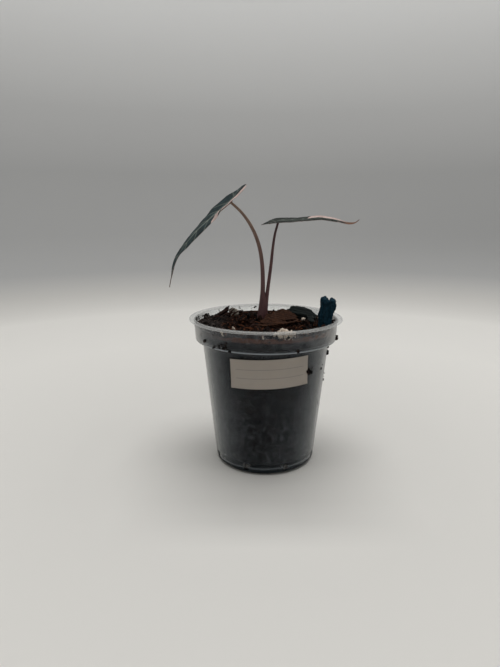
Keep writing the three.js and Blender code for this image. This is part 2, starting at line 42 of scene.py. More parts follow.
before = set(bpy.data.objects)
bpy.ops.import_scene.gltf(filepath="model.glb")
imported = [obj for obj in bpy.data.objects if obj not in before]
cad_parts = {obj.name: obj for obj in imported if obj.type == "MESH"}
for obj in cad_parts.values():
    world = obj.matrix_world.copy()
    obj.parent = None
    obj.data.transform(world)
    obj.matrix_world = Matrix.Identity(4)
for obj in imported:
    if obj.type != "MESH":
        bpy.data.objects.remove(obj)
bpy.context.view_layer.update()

# Lengths are in millimetres where no other unit is named; MM makes them metres
MM = 0.001
PER_SQUARE_CENTIMETRE = 1e4
ALL_ROUND = 6.28

# Pot, as in the packed model
POT_SEGMENTS = 144
LIP_THICKNESS = 1.0
LIP_INNER_RADIUS = 35.2
COLLAR_TOP_RADIUS = 35.6
COLLAR_FOOT_RADIUS = 35.0
LEDGE_Z = 63.5
COLLAR_HEIGHT = 9.3
BODY_TOP_RADIUS = 31.7
BODY_FOOT_RADIUS = 25.1
FLOOR_Z = 3.4
FOOT_ROUNDING = 3.1
FOOT_LIP_RADIUS = 21.6
DRAIN_SLOTS = 8
DRAIN_WIDTH = 2.5
DRAIN_TOP_Z = 5.6
DRAIN_LOW_Z = 1.8
DRAIN_INNER_RADIUS = 20.4
DRAIN_REACH = 8

# Label, turned towards +X and tilted, in degrees
LABEL_Z = 52.9
LABEL_TURN = 2.4
LABEL_TILT = 2.2
LABEL_THICKNESS = 0.16
LABEL_ROWS = 17
LABEL_COLUMNS = 49
RULE_HEIGHTS = (0.36, 0.66)

# Surface of the mix: height at the rim, mound, drop at the back, and waves as height, turns along X and Y,
# and start
SOIL_EDGE_Z = 70.9
SOIL_MOUND = 1.9
SOIL_BACK_DROP = 1.1
SOIL_WAVES = [
    (0.17, 0.61, 0.53, 0.5),
    (0.17, 0.61, -0.53, 1.3),
    (0.24, 1.13, -0.8, 2.1),
    (0.17, 0.9, 1.7, 1.6),
]
# Hollows that leave the bark bare: place, reach and depth
SOIL_HOLLOWS = [
    (-3, -14, 4, 2.0),
    (4, -15, 6, 1.6),
    (13, -12, 5, 1.2),
    (21, -2, 5, 0.6),
]
# Body of the mix: points round it, rings under it, up its side, over the ledge, up the collar and over its
# top, and gap to the pot's wall
MIX_COLUMNS = 300
MIX_RINGS = (7, 118, 6, 13, 84)
MIX_GAP = 0.1
# Clods and crumbs that are pressed together in it: how many, which share shows on top, which share of the
# rest lies below the ledge, and how far out they lie on top and behind the collar
PRESSED_CLODS = 420
PRESSED_CRUMBS = 3600
PRESSED_SEED = 5
SHARE_ON_TOP = 0.36
SHARE_BELOW_LEDGE = 0.87
TOP_REACH = 34.6
COLLAR_REACH = 34.4
# Sheet just under the mix's surface, for the trees to scatter on
SHEET_RINGS = 40
SHEET_COLUMNS = 120
SHEET_RADIUS = 34.2
SHEET_DEPTH = 0.45
# Crumbs by piece: which setting gives their density, then smallest and largest radius, roughness, slimmest,
# flatness, brightest tint and clearance to the pieces that lie on the mix
CRUMBS = {
    "mix_crumbs": ("crumbs", 0.25, 0.9, 2.4, 0.4, 0.5, 1.0, 0.3),
    "mix_clods": ("clods", 0.7, None, 2.4, 0.4, 0.5, 0.8, 1.5),
    "mix_flakes": ("flakes", 1.0, 2.6, 1.1, 0.15, 0.2, 0.75, 1.5),
}
FIBRE_CLEARANCE = 0.8
# Nodes of the packed model that leave no room for crumbs
LAID_ON_MIX = (
    "bark_chunk",
    "dark_bark",
    "charcoal",
    "bark_sliver",
    "pale_chip",
    "perlite_ball",
    "perlite_speck",
)

# Stalks: centre lines and radii from the corm up
LEFT_STALK = [
    (-2.6, 1.6, 64.2), (-2.7, 1.4, 70), (-2.6, 1.2, 74.6), (-2.1, 1, 79), (-1.5, 1, 86), (-1.5, 1, 93),
    (-1.9, 1, 100), (-3.05, 1, 107), (-5.2, 1, 113.6), (-8.2, 1, 119.3), (-11.9, 1, 124.2), (-16.9, 1, 128.8),
]
LEFT_STALK_RADII = [1.6, 1.55, 1.45, 1.3, 1.15, 1.05, 0.98, 0.92, 0.86, 0.8, 0.7, 0.6]
RIGHT_STALK = [
    (0.9, 1.9, 64.2), (0.3, 1.6, 70), (0, 1.4, 75), (0.3, 1.5, 80), (0.9, 1.8, 86), (1.8, 2.1, 93),
    (2.65, 2.3, 100), (3.35, 2.6, 107), (4.35, 2.9, 113.8), (6, 3, 120),
]
RIGHT_STALK_RADII = [1.3, 1.25, 1.1, 1, 0.92, 0.85, 0.78, 0.68, 0.6, 0.55]
# The sheath that holds both stalks together above the mix
SHEATH = [
    (-1.5, 1.45, 69), (-1.35, 1.35, 72.5), (-1.2, 1.3, 76),
    (-1.15, 1.25, 79.5), (-1.3, 1.2, 83), (-1.45, 1.1, 86),
]
SHEATH_RADII = [2.5, 2.35, 2.1, 1.85, 1.55, 1.15]

# Thin shreds of bark on the mix, most of them beside the sliver
BARK_SHREDS = [
    [(-25.2, 10.8, 71.4), (-21.6, 10.5, 73.9), (-18.2, 10.6, 75.6)],
    [(-23.4, 10.2, 71.2), (-19.6, 9.9, 73.2), (-15.6, 10.1, 73.9)],
    [(-18.8, 10.2, 71.8), (-17.5, 9.9, 74.2), (-15.8, 10.0, 75.9)],
    [(-17.6, 10, 71.6), (-15.8, 9.8, 73.3), (-13.5, 10.0, 74.6)],
    [(-27.5, 4, 71.6), (-24.6, 3.6, 72.9), (-21.4, 3.4, 72.3)],
    [(-8.4, -19, 71.4), (-6.2, -16.8, 72.9), (-3.2, -15.9, 72.2)],
    [(6.8, 13, 72.4), (9.2, 11.6, 73.9), (11.8, 10.8, 73.2)],
]
SHRED_RADII = [0.15, 0.42, 0.5, 0.36, 0.12]
# Perlite: size of its voxels, size, depth and outward share of its rounded bumps
PERLITE_GRAINS = {
    "perlite_cluster": (0.18, 1.2, 0.35, 0.0),
    "perlite_ball": (0.12, 1.1, 0.2, 0.55),
    "perlite_speck": (0.1, 0.8, 0.2, 0.55),
    "perlite_flake": (0.12, 0.9, 0.3, 0.2),
}
# Corners of the flap of bark that hangs from the chunk to the front left
BARK_FLAP = [
    (-4.4, -14.7, 71.7), (2.2, -14.8, 72.4), (9.5, -13.2, 73.2),
    (8.5, -2.5, 76.0), (0.6, -2, 75.0), (-1.6, -8, 73.6),
    (-4.0, -14.3, 70.2), (2.2, -14.2, 70.4), (9.5, -12.8, 71.2),
    (8, -3, 73.6), (0.8, -2.5, 72.8),
]

# Blades: midribs from between the lobes over the stalk to the tip, with the side that each turns up. Slopes
# are distances from the stalk with the rise of each half there, pinks are side, start, end, width, strength
LEFT_BLADE = {
    "midrib": [
        (-9.4, 0.8, 137.0), (-16.7, 1, 129.6), (-26.9, -1.6, 121.0), (-34.0, -4, 114.4),
        (-42.5, -6.4, 102.7), (-45.1, -8.6, 94.2), (-45.9, -10, 89.6),
    ],
    "upper_side": (-0.74, -0.27, 0.61),
    "lobe_length": 10.6,
    "lobe_shares": (1.0, 0.98),
    "lobe_taper": 2.8,
    "half_width": 9.6,
    "drip_tip_start": 0.82,
    "slopes": (
        [
            (-11, 0.07), (-6, -0.03), (0, 0.13), (7, 0.19), (14, 0.085),
            (22, -0.015), (30, 0), (38, 0.075), (48, 0),
        ],
        [
            (-11, 0.02), (-6, 0.16), (0, 0.205), (7, 0.18), (14, -0.035),
            (22, -0.125), (30, -0.075), (38, 0.17), (48, 0.36),
        ],
    ),
    "vein_shares": (0.95, 0.55),
    "pinks": [(1, -30, -2.5, 0.75, 1.0), (1, -8, 3.5, 0.1, 0.6), (1, 2.5, 10.8, 0.7, 1.0)],
    "brown": (90, 99),
}
RIGHT_BLADE = {
    "midrib": [
        (-2.8, 1.9, 118.2), (6.2, 3, 120.2), (16, 3.8, 120.6), (26, 4.6, 121.6),
        (34.2, 5.2, 120.5), (40.8, 5.7, 119), (43.9, 5.9, 119.4), (45.9, 6.1, 120.8),
    ],
    "upper_side": (0.02, -0.1, 0.99),
    "lobe_length": 9.1,
    "lobe_shares": (1.0, 0.97),
    "lobe_taper": 1.5,
    "half_width": 7.8,
    "drip_tip_start": 0.9,
    "slopes": (
        [
            (-9, 0.09), (-3, 0.02), (3, -0.025), (10, 0.015),
            (18, -0.08), (26, -0.165), (34, -0.185), (42, -0.195),
        ],
        [
            (-9, -0.05), (-3, 0.04), (3, 0.06), (10, 0.055), (16, 0.05),
            (22, 0.14), (28, 0.21), (34, 0.2), (42, 0.18),
        ],
    ),
    "vein_shares": (0.6, 0.3),
    "pinks": [(1, 12.5, 40.5, 0.95, 1.0), (-1, 24, 40.5, 0.18, 0.45)],
    "brown": (31, 39),
}
# Outline of both blades: how the front tapers and swells, how slim the drip tip is, and how the lobes narrow
OUTLINE_TAPER = 0.97
OUTLINE_SHOULDER = 0.5
DRIP_TIP_NARROWING = 0.72
DRIP_TIP_RADIUS = 0.26
LOBE_NARROWING = 0.2
LOBE_TIP = 0.08
SINUS_ROUNDING = 0.03
# Where side veins leave the midrib and the lobes' ribs, as shares of their lengths, and how they run outwards
SIDE_VEINS = (0.03, 0.15, 0.28, 0.42, 0.56, 0.7, 0.83)
LOBE_VEINS = (0.3, 0.62)
VEIN_SLANT = 0.5
VEIN_BEND = 0.045
# Fineness of the midrib's curve and of each half's grid
MIDRIB_STEPS = 40
LOBE_ROWS = 36
BLADE_ROWS = 132
BLADE_COLUMNS = 30

# Dirt on the pot: degrees from the front towards +X, height, spread, count and largest radius
WALL_DIRT = [
    (80, 64.3, 0.75, 24, 1.0),
    (76, 63.9, 0.5, 4, 0.5),
    (78, 59.4, 0.4, 5, 0.5),
    (77, 56.8, 0.8, 14, 0.85),
    (-34, 64.9, 1.9, 36, 0.75),
    (-29, 63.9, 1.5, 16, 0.6),
    (-43, 64.4, 0.9, 8, 0.5),
    (-55, 66, 1.1, 16, 0.7),
    (-61, 68, 0.7, 5, 0.45),
    (22.5, 63.9, 0.5, 12, 0.6),
    (38.6, 52.3, 1.1, 26, 0.95),
    (44, 53.6, 0.6, 4, 0.4),
    (62, 52.6, 0.25, 3, 0.35),
    (60, 51.2, 0.3, 3, 0.4),
    (-46, 43.1, 0.25, 4, 0.5),
    (-46, 51.7, 1.0, 4, 0.25),
    (80, 42, 3.0, 10, 0.4),
    (64, 34, 1.5, 6, 0.35),
    (150, 58, 2.0, 10, 0.6),
    (-140, 64.4, 1.2, 12, 0.6),
    (-110, 40, 1.0, 6, 0.45),
]
DIRT_SEED = 12
# Specks all round behind the collar: how many groups, how high, each one's spread, count and largest radius,
# and the gap between them and the wall
SPECKS_INSIDE = 75
SPECK_HEIGHTS = (64.8, 72.6)
SPECK_GROUP = (0.7, 4, 0.5)
INSIDE_GAP = 0.05
# How dirt lies: its spread in deviations, which share of it stands out, and its least share of the largest
SPREAD_DEVIATIONS = 1.6
DIRT_OUT = 0.25
LEAST_DIRT = 0.3
DIRT_LOOK = {"Roughness": 2.2, "Dent scale": 1500.0, "Most tint": 0.55}
# Pale crumbs behind the collar, given alike
PALE_FLECKS = [
    (-35.5, 71.4, 0.8, 18, 0.5),
    (-4, 70.8, 0.6, 7, 0.4),
    (9, 71.5, 0.9, 14, 0.7),
    (14, 71.4, 1.1, 22, 0.75),
    (20, 71.7, 0.8, 12, 0.6),
    (15, 70.1, 1.4, 8, 0.35),
]
# Grains lodged in the drain slots, given alike; their pale skin is painted light that lifts the shade inside
# the slots
SLOT_GRAINS = [((k + 0.5) * 360 / DRAIN_SLOTS, 3.3, 1.3, 34, 0.62) for k in range(DRAIN_SLOTS)]

# Colours of wear and dirt, and of painted shade
CLEAR = (0.965, 0.975, 0.98)
LIP_GREY = (0.62, 0.615, 0.6)
FOOT_SHADE = (0.008, 0.014, 0.018)
SPLASHES = (0.3, 0.22, 0.17)
PAPER_STAINS = (0.42, 0.35, 0.28)
PAPER_FIBRES = (0.38, 0.36, 0.33)
MIX_SHADE = (0.0008, 0.0007, 0.0007)
MIX_DUST = ((0.013, 0.0105, 0.0095), (0.09, 0.075, 0.068))
STALK_STREAKS = (0.03, 0.012, 0.014)
STALK_BLOTCHES = (0.22, 0.12, 0.09)
# Darker, warmer tone for the right blade's upper side
RIGHT_BLADE_DARKER_WARMER = (0.78, 0.55, 0.44)
DRY_LEAF = (0.16, 0.085, 0.055)
UNDER_VEINS = (0.3, 0.24, 0.18)
CHARCOAL_ASH = (0.02, 0.04, 0.06)
PERLITE_STAINS = (0.26, 0.18, 0.12)
PERLITE_HOLLOWS = (0.07, 0.045, 0.03)
CORM_SKIN = ((0.16, 0.08, 0.045), (0.45, 0.3, 0.19))
# Barks: colour, worn colour and the way that the grain runs
BROWN_BARK_WORN = (0.12, 0.055, 0.03)
BROWN_BARK_GRAIN = (0.93, -0.3, -0.2)
BLACK_BARK = ((0.0105, 0.0155, 0.015), (0.032, 0.039, 0.037), (0.9, -0.4, -0.15))
SPLINTER = ((0.022, 0.011, 0.01), (0.07, 0.037, 0.03), (0.72, 0.05, 0.69))
PALE_CHIP = ((0.5, 0.45, 0.38), (0.6, 0.55, 0.48), (0.75, 0.1, 0.65))
PALE_CHIP_CRACKS = (0.07, 0.055, 0.045)
# Skin of the grains in the drain slots, made pale as painted light
SLOT_PAINTED_LIGHT_SKIN = ((0.14, 0.135, 0.13), (0.2, 0.195, 0.19), (0.3, 0.2, 0.93))

# Backdrop's tones from the middle of the floor to the wall's top, with a painted shadow round the pot and
# painted light high on the wall: how far, which setting, and how bright
BACKDROP_TONES_WITH_PAINTED_LIGHT = (
    (0.07, "floor", 1),
    (0.18, "floor", 1.13),
    (0.3, "floor", 1.17),
    (0.38, "floor", 0.865),
    (0.45, "wall", 1.1),
    (0.55, "wall", 1),
    (0.7, "wall", 1),
    (0.82, "wall", 1.28),
    (0.975, "wall", 2.05),
    (1.0, "wall", 1.2),
)
# Backdrop, light and camera
BACKDROP_REACH = 1400
FLOOR_RINGS = (60, 120, 240)
SWEEP_RADIUS = 420
SWEEP_STEPS = 24
WALL_HEIGHTS = (900, 1500)
BACKDROP_SEGMENTS = 96
LAMP_PLACE = (50, 20, 950)
LAMP_SIZE = (900, 700)
CAMERA_PLACE = (-7.8, -246, 122.2)
CAMERA_DIP = 13.13
CAMERA_LENS = 27.04


class PotSettings(bpy.types.PropertyGroup):
    """Sizes and finish of the nursery pot"""

    rim_radius: FloatProperty(
        name="Rim radius", description="Outer radius of the rim", default=38 * MM, unit="LENGTH"
    )
    height: FloatProperty(
        name="Height", description="Height from foot to rim", default=73.8 * MM, unit="LENGTH"
    )
    wall: FloatProperty(name="Wall", description="Thickness of the plastic", default=0.8 * MM, unit="LENGTH")
    tint: FloatVectorProperty(
        name="Haze colour",
        description="Colour of the plastic's haze",
        default=(0.36, 0.368, 0.362),
        subtype="COLOR",
    )
    haze: FloatProperty(
        name="Haze",
        description="Share of haze where the wall is seen square on",
        default=0.014,
        subtype="FACTOR",
    )


class LabelSettings(bpy.types.PropertyGroup):
    """Size and colours of the paper label"""

    width: FloatProperty(name="Width", description="Width of the paper", default=37.4 * MM, unit="LENGTH")
    height: FloatProperty(name="Height", description="Height of the paper", default=14.3 * MM, unit="LENGTH")
    paper: FloatVectorProperty(
        name="Paper", description="Colour of the paper", default=(0.385, 0.342, 0.3), subtype="COLOR"
    )
    rule: FloatVectorProperty(
        name="Rule", description="Colour of the write-on lines", default=(0.2, 0.2, 0.2), subtype="COLOR"
    )


class MixSettings(bpy.types.PropertyGroup):
    """Coarseness and colours of the potting mix"""

    seed: IntProperty(name="Seed", description="Changes how the crumbs lie", default=11)
    crumbs: FloatProperty(name="Crumbs", description="Small crumbs on a square centimetre", default=44)
    clods: FloatProperty(name="Clods", description="Large crumbs on a square centimetre", default=10)
    flakes: FloatProperty(name="Flakes", description="Thin bark flakes on a square centimetre", default=10)
    fibres: FloatProperty(name="Fibres", description="Coir fibres on a square centimetre", default=10)
    largest: FloatProperty(
        name="Largest clod", description="Radius of the largest crumbs", default=1.6 * MM, unit="LENGTH"
    )
    dark: FloatVectorProperty(
        name="Dark", description="Colour of the wet crumbs", default=(0.002, 0.0014, 0.0012), subtype="COLOR"
    )
    brown: FloatVectorProperty(
        name="Brown", description="Colour of most crumbs", default=(0.021, 0.0084, 0.005), subtype="COLOR"
    )
    coir: FloatVectorProperty(
        name="Coir", description="Colour of the coir", default=(0.125, 0.043, 0.018), subtype="COLOR"
    )


class PlantSettings(bpy.types.PropertyGroup):
    """Colours of stalks and leaves"""

    leaf: FloatVectorProperty(
        name="Leaf", description="Colour of the upper side", default=(0.0105, 0.0195, 0.0215), subtype="COLOR"
    )
    vein: FloatVectorProperty(
        name="Veins",
        description="Colour of the veins on the upper side",
        default=(0.26, 0.29, 0.25),
        subtype="COLOR",
    )
    pink: FloatVectorProperty(
        name="Pink", description="Colour of the pink margins", default=(0.615, 0.465, 0.425), subtype="COLOR"
    )
    underside: FloatVectorProperty(
        name="Underside", description="Colour of the underside", default=(0.13, 0.07, 0.07), subtype="COLOR"
    )
    stalk: FloatVectorProperty(
        name="Stalk",
        description="Colour of the stalks near the mix",
        default=(0.13, 0.058, 0.058),
        subtype="COLOR",
    )
    stalk_top: FloatVectorProperty(
        name="Stalk top",
        description="Colour of the left stalk's top",
        default=(0.28, 0.19, 0.13),
        subtype="COLOR",
    )


class ChipSettings(bpy.types.PropertyGroup):
    """Colours of the pieces that lie in the mix"""

    bark: FloatVectorProperty(
        name="Bark", description="Colour of the brown bark", default=(0.043, 0.0195, 0.0125), subtype="COLOR"
    )
    charcoal: FloatVectorProperty(
        name="Charcoal", description="Colour of the charcoal", default=(0.0046, 0.026, 0.043), subtype="COLOR"
    )
    perlite: FloatVectorProperty(
        name="Perlite", description="Colour of the pale grains", default=(0.6, 0.51, 0.42), subtype="COLOR"
    )


class StageSettings(bpy.types.PropertyGroup):
    """Floor, backdrop and light"""

    floor: FloatVectorProperty(
        name="Floor", description="Colour of the floor", default=(0.72, 0.705, 0.67), subtype="COLOR"
    )
    wall: FloatVectorProperty(
        name="Wall", description="Colour of the backdrop's wall", default=(0.4, 0.4, 0.395), subtype="COLOR"
    )
    power: FloatProperty(
        name="Power", description="Power of the overhead light in watts", default=7.0, unit="POWER"
    )
    sky: FloatProperty(name="Sky", description="Strength of the light from all round", default=0.18)


SETTINGS = {
    "alocasia_pot": PotSettings,
    "alocasia_label": LabelSettings,
    "alocasia_mix": MixSettings,
    "alocasia_plant": PlantSettings,
    "alocasia_chips": ChipSettings,
    "alocasia_stage": StageSettings,
}


class Graph:
    """Adds nodes to a tree. An input is a value, or the socket that feeds it."""

    def __init__(self, tree, material=None):
        self.tree = tree
        self.material = material

    def add(self, kind, inputs=None, **settings):
        node = self.tree.nodes.new(kind)
        for name, value in settings.items():
            setattr(node, name, value)
        for key, value in (inputs or {}).items():
            if isinstance(value, bpy.types.NodeSocket):
                self.tree.links.new(value, node.inputs[key])
            else:
                node.inputs[key].default_value = value
        return node

    def math(self, operation, a, b=0.0, clamp=False):
        return self.add("ShaderNodeMath", {0: a, 1: b}, operation=operation, use_clamp=clamp).outputs[0]

    def times(self, a, b, clamp=False):
        return self.math("MULTIPLY", a, b, clamp)

    def plus(self, a, b):
        return self.math("ADD", a, b)

    def minus(self, a, b):
        return self.math("SUBTRACT", a, b)

    def away(self, a, b):
        """How far apart two numbers are."""
        return self.math("ABSOLUTE", self.minus(a, b))

    def axis(self, vector, number):
        return self.add("ShaderNodeSeparateXYZ", {0: vector}).outputs[number]

    def scaled(self, vector, x, y, z):
        inputs = {0: vector, 1: (x, y, z)}
        return self.add("ShaderNodeVectorMath", inputs, operation="MULTIPLY").outputs[0]

    def from_axis(self, place):
        """How far a place lies from the pot's axis."""
        inputs = {0: self.scaled(place, 1, 1, 0)}
        return self.add("ShaderNodeVectorMath", inputs, operation="LENGTH").outputs[1]

    def noise(self, vector, scale, detail, roughness):
        inputs = {"Vector": vector, "Scale": scale, "Detail": detail, "Roughness": roughness}
        return self.add("ShaderNodeTexNoise", inputs).outputs["Fac"]

    def fine_cells(self, vector):
        """The small cells of a leaf's surface."""
        inputs = {"Vector": vector, "Scale": 900}
        return self.add("ShaderNodeTexVoronoi", inputs, feature="DISTANCE_TO_EDGE").outputs[0]

    def span(self, value, low, high, to_low=0.0, to_high=1.0):
        inputs = {"Value": value, "From Min": low, "From Max": high, "To Min": to_low, "To Max": to_high}
        return self.add("ShaderNodeMapRange", inputs).outputs[0]

    def mix(self, factor, a, b, blend="MIX"):
        inputs = {0: factor, 6: colour(a), 7: colour(b)}
        return self.add("ShaderNodeMix", inputs, data_type="RGBA", blend_type=blend).outputs[2]

    def ramp(self, factor, *stops):
        node = self.add("ShaderNodeValToRGB", {"Fac": factor})
        for _ in stops[2:]:
            node.color_ramp.elements.new(1)
        for element, (place, value) in zip(node.color_ramp.elements, stops):
            element.position = place
            element.color = colour(value)
        return node.outputs["Color"]

    def attribute(self, name):
        """A vertex's number, for a material."""
        return self.add("ShaderNodeAttribute", attribute_name=name).outputs["Fac"]

    def named(self, name):
        """A vertex's number, for a geometry tree."""
        return self.add("GeometryNodeInputNamedAttribute", {"Name": name}, data_type="FLOAT").outputs[0]

    def pointiness(self, low, high, to_low, to_high):
        return self.span(self.add("ShaderNodeNewGeometry").outputs["Pointiness"], low, high, to_low, to_high)

    def bump(self, height, distance, strength, below=None):
        inputs = {"Height": height, "Distance": distance * MM, "Strength": strength}
        if below is not None:
            inputs["Normal"] = below
        return self.add("ShaderNodeBump", inputs).outputs[0]

    def random(self, low, high, seed):
        inputs = {2: low, 3: high, "Seed": seed}
        return self.add("FunctionNodeRandomValue", inputs, data_type="FLOAT").outputs[1]

    def value(self, number):
        node = self.add("ShaderNodeValue")
        node.outputs[0].default_value = number
        return node.outputs[0]

    def random_size(self, low, high, seed, power):
        """A random size for each point, the more often near the low one the higher the power."""
        share = self.math("POWER", self.random(0.0, 1.0, seed), power)
        return self.plus(self.times(share, self.minus(high, low)), low)

    def copies(self, points, shape, angles, **more):
        """The shape on each point, turned by angles in radians."""
        rotation = self.add("FunctionNodeEulerToRotation", {0: angles}).outputs[0]
        inputs = {"Points": points, "Instance": shape, "Rotation": rotation, **more}
        return self.add("GeometryNodeInstanceOnPoints", inputs).outputs[0]

    def realized(self, geometry):
        return self.add("GeometryNodeRealizeInstances", {"Geometry": geometry}).outputs[0]

    def rods(self, curve, sides, radius):
        """A closed round rod along each curve."""
        ring = self.add("GeometryNodeCurvePrimitiveCircle", {"Resolution": sides, "Radius": 1.0}).outputs[0]
        inputs = {"Curve": curve, "Profile Curve": ring, "Scale": radius, "Fill Caps": True}
        return self.add("GeometryNodeCurveToMesh", inputs).outputs[0]


def colour(value):
    if isinstance(value, bpy.types.NodeSocket):
        return value
    return (*tuple(value)[:3], 1)


def shaded(tone, share):
    return [share * value for value in tone]


def new_material(name):
    """The graph of an empty material, and its object coordinates."""
    material = bpy.data.materials.new(name)
    material.use_nodes = True
    material.node_tree.nodes.clear()
    graph = Graph(material.node_tree, material)
    return graph, graph.add("ShaderNodeTexCoord").outputs["Object"]


def show(graph, shader):
    """The graph's material, with the shader on its surface."""
    graph.add("ShaderNodeOutputMaterial", {"Surface": shader})
    return graph.material


def principled(graph, base, roughness, normal=None, **constants):
    inputs = {"Base Color": colour(base), "Roughness": roughness}
    if normal is not None:
        inputs["Normal"] = normal
    for name, value in constants.items():
        inputs[name.replace("_", " ")] = value
    return graph.add("ShaderNodeBsdfPrincipled", inputs).outputs[0]


def clear_plastic():
    """Clear moulded plastic whose haze, dust and gloss grow where it is seen at a slant."""
    pot = bpy.context.scene.alocasia_pot
    graph, place = new_material("clear_plastic")
    across, height, out = graph.axis(place, 0), graph.axis(place, 2), graph.from_axis(place)
    low = graph.span(height, 12 * MM, 56 * MM, 1.0, 0.15)
    side = graph.span(across, 4 * MM, 26 * MM)
    # Milky towards the outline, a little less on the right
    slant = graph.add("ShaderNodeLayerWeight", {"Blend": 0.5}).outputs["Facing"]
    edge = graph.times(graph.math("POWER", slant, 2.5), 1.6)
    edge = graph.times(edge, graph.span(graph.times(side, low), 0, 1, 1, 0.68))
    # Damp clouds low on the wall, smudges and dust
    clouds = graph.noise(graph.scaled(place, 1, 1, 0.6), 60, 5, 0.65)
    patches = graph.times(graph.span(clouds, 0.46, 0.7, 0, 0.05), low)
    mottle = graph.times(graph.span(graph.noise(place, 470, 5, 0.7), 0.48, 0.66, 0, 0.1), low)
    smudges = graph.span(graph.noise(graph.scaled(place, 1, 1, 0.35), 210, 6, 0.7), 0.58, 0.8, 0, 0.06)
    dust = graph.span(graph.noise(place, 1500, 2, 0.5), 0.66, 0.74, 0, 0.14)
    # Painted highlights, a pale line along the ledge and a pale ring at the floor's edge, and a faint band of
    # painted light under the ledge
    ledge = graph.span(graph.away(height, (LEDGE_Z + 0.05) * MM), 0.15 * MM, 0.45 * MM, 0.7, 0)
    ledge = graph.times(ledge, graph.span(out, 33 * MM, 34 * MM))
    band = graph.times(graph.span(height, 60 * MM, 62.4 * MM, 0, 0.1), graph.span(out, 33.5 * MM, 33 * MM))
    tilted = graph.minus(height, graph.times(across, 0.02))
    ring = graph.span(graph.away(tilted, (FLOOR_Z + 0.15) * MM), 0, 0.5 * MM, 0.4, 0)
    # Splashes of mix behind the collar, more of them on the right
    splashes = graph.span(graph.noise(place, 260, 5, 0.7), 0.38, 0.66, 0.03, 0.22)
    splashes = graph.times(splashes, graph.span(height, LEDGE_Z * MM, 71 * MM, 0.2, 1))
    splashes = graph.times(splashes, graph.span(side, 0, 1, 1, 1.6))
    splashes = graph.times(splashes, graph.span(height, LEDGE_Z * MM, (LEDGE_Z + 0.8) * MM))
    haze = graph.value(pot.haze)
    for more in (patches, mottle, smudges, dust, ledge, band, ring, splashes, edge):
        haze = graph.plus(haze, more)
    # The inner skin adds less, next to nothing under the mix, the foot is painted dark as shade and the lip
    # evenly milky
    clearer = graph.span(height, 4.6 * MM, 5.6 * MM, 0.05, 0.4)
    haze = graph.times(haze, graph.mix(graph.attribute("inside"), (1, 1, 1), clearer))
    foot = graph.span(height, 2.7 * MM, 3.0 * MM, 1.0, 0)
    lip = graph.span(height, 72.55 * MM, 72.8 * MM)
    share = graph.math("MINIMUM", haze, 0.8)
    share = graph.math("MAXIMUM", share, graph.times(foot, 0.9))
    share = graph.plus(share, graph.times(lip, graph.minus(0.36, share)))
    bluish = [0.92 * pot.tint[0], pot.tint[1], 1.13 * pot.tint[2]]
    grey = graph.mix(graph.span(slant, 0.2, 0.75), bluish, pot.tint)
    for factor, tone in ((foot, FOOT_SHADE), (splashes, SPLASHES), (lip, LIP_GREY)):
        grey = graph.mix(factor, grey, tone)
    scratches = graph.noise(graph.scaled(place, 1, 1, 0.08), 900, 3, 0.6)
    normal = graph.bump(graph.plus(clouds, graph.times(scratches, 0.12)), 0.12, 0.35)
    gloss = graph.span(foot, 0, 1, 0.5, 0.1)
    milky = principled(graph, grey, 0.22, normal, IOR=1.49, Specular_IOR_Level=gloss)
    through = graph.add("ShaderNodeBsdfTransparent", {"Color": colour(CLEAR)}).outputs[0]
    return show(graph, graph.add("ShaderNodeMixShader", {0: share, 1: through, 2: milky}).outputs[0])


def label_paper():
    """Matt paper with two thin ruled lines, slightly stained, and darker in large soft patches of painted
    shade.
    """
    label = bpy.context.scene.alocasia_label
    graph, place = new_material("label_paper")
    sheet = graph.add("ShaderNodeUVMap", uv_map="sheet").outputs[0]
    across, up = graph.axis(sheet, 0), graph.axis(sheet, 1)
    fibres = graph.noise(place, 1800, 3, 0.6)
    stains = graph.noise(place, 170, 5, 0.6)
    # Large soft patches where the paper is darker, painted shade
    worn = graph.span(graph.noise(place, 55, 3, 0.5), 0.4, 0.65, 0, 0.35)
    base = graph.mix(worn, label.paper, shaded(label.paper, 0.7))
    base = graph.mix(graph.span(stains, 0.42, 0.75, 0, 0.2), base, PAPER_STAINS)
    lines = graph.value(0)
    for height in RULE_HEIGHTS:
        line = graph.span(graph.away(up, height * label.height / MM), 0.1, 0.17, 1, 0)
        lines = graph.math("MAXIMUM", lines, line)
    half = label.width / 2 / MM
    inside = graph.span(graph.away(across, half), half - 2.8, half - 2.6, 1, 0)
    lines = graph.times(graph.times(lines, inside), 0.75)
    base = graph.mix(lines, base, label.rule)
    base = graph.mix(graph.span(fibres, 0.3, 0.7, 0, 0.1), base, PAPER_FIBRES)
    normal = graph.bump(graph.plus(fibres, graph.times(stains, 2)), 0.03, 0.5)
    return show(graph, principled(graph, base, 0.72, normal))


def potting_mix(name="potting_mix"):
    """Wet bark and coir. Each crumb's tint is an attribute, and so is the shade of the gaps between them."""
    mix = bpy.context.scene.alocasia_mix
    graph, place = new_material(name)
    tint = graph.attribute("tint")
    grain = graph.noise(place, 1300, 5, 0.65)
    wet = graph.noise(place, 230, 3, 0.5)
    shade = graph.plus(tint, graph.times(graph.minus(grain, 0.5), 0.7))
    base = graph.ramp(shade, (0.15, mix.dark), (0.5, mix.brown), (0.78, mix.brown), (0.95, mix.coir))
    far_left = graph.span(graph.axis(place, 0), -17 * MM, -26 * MM, 0, 0.8)
    base = graph.mix(far_left, base, graph.mix(graph.span(shade, 0.2, 0.8), *MIX_DUST))
    base = graph.mix(graph.attribute("gap"), base, MIX_SHADE)
    roughness = graph.span(wet, 0.35, 0.7, 0.55, 0.9)
    normal = graph.bump(grain, 0.25, 0.8)
    return show(graph, principled(graph, base, roughness, normal, Specular_IOR_Level=0.08))


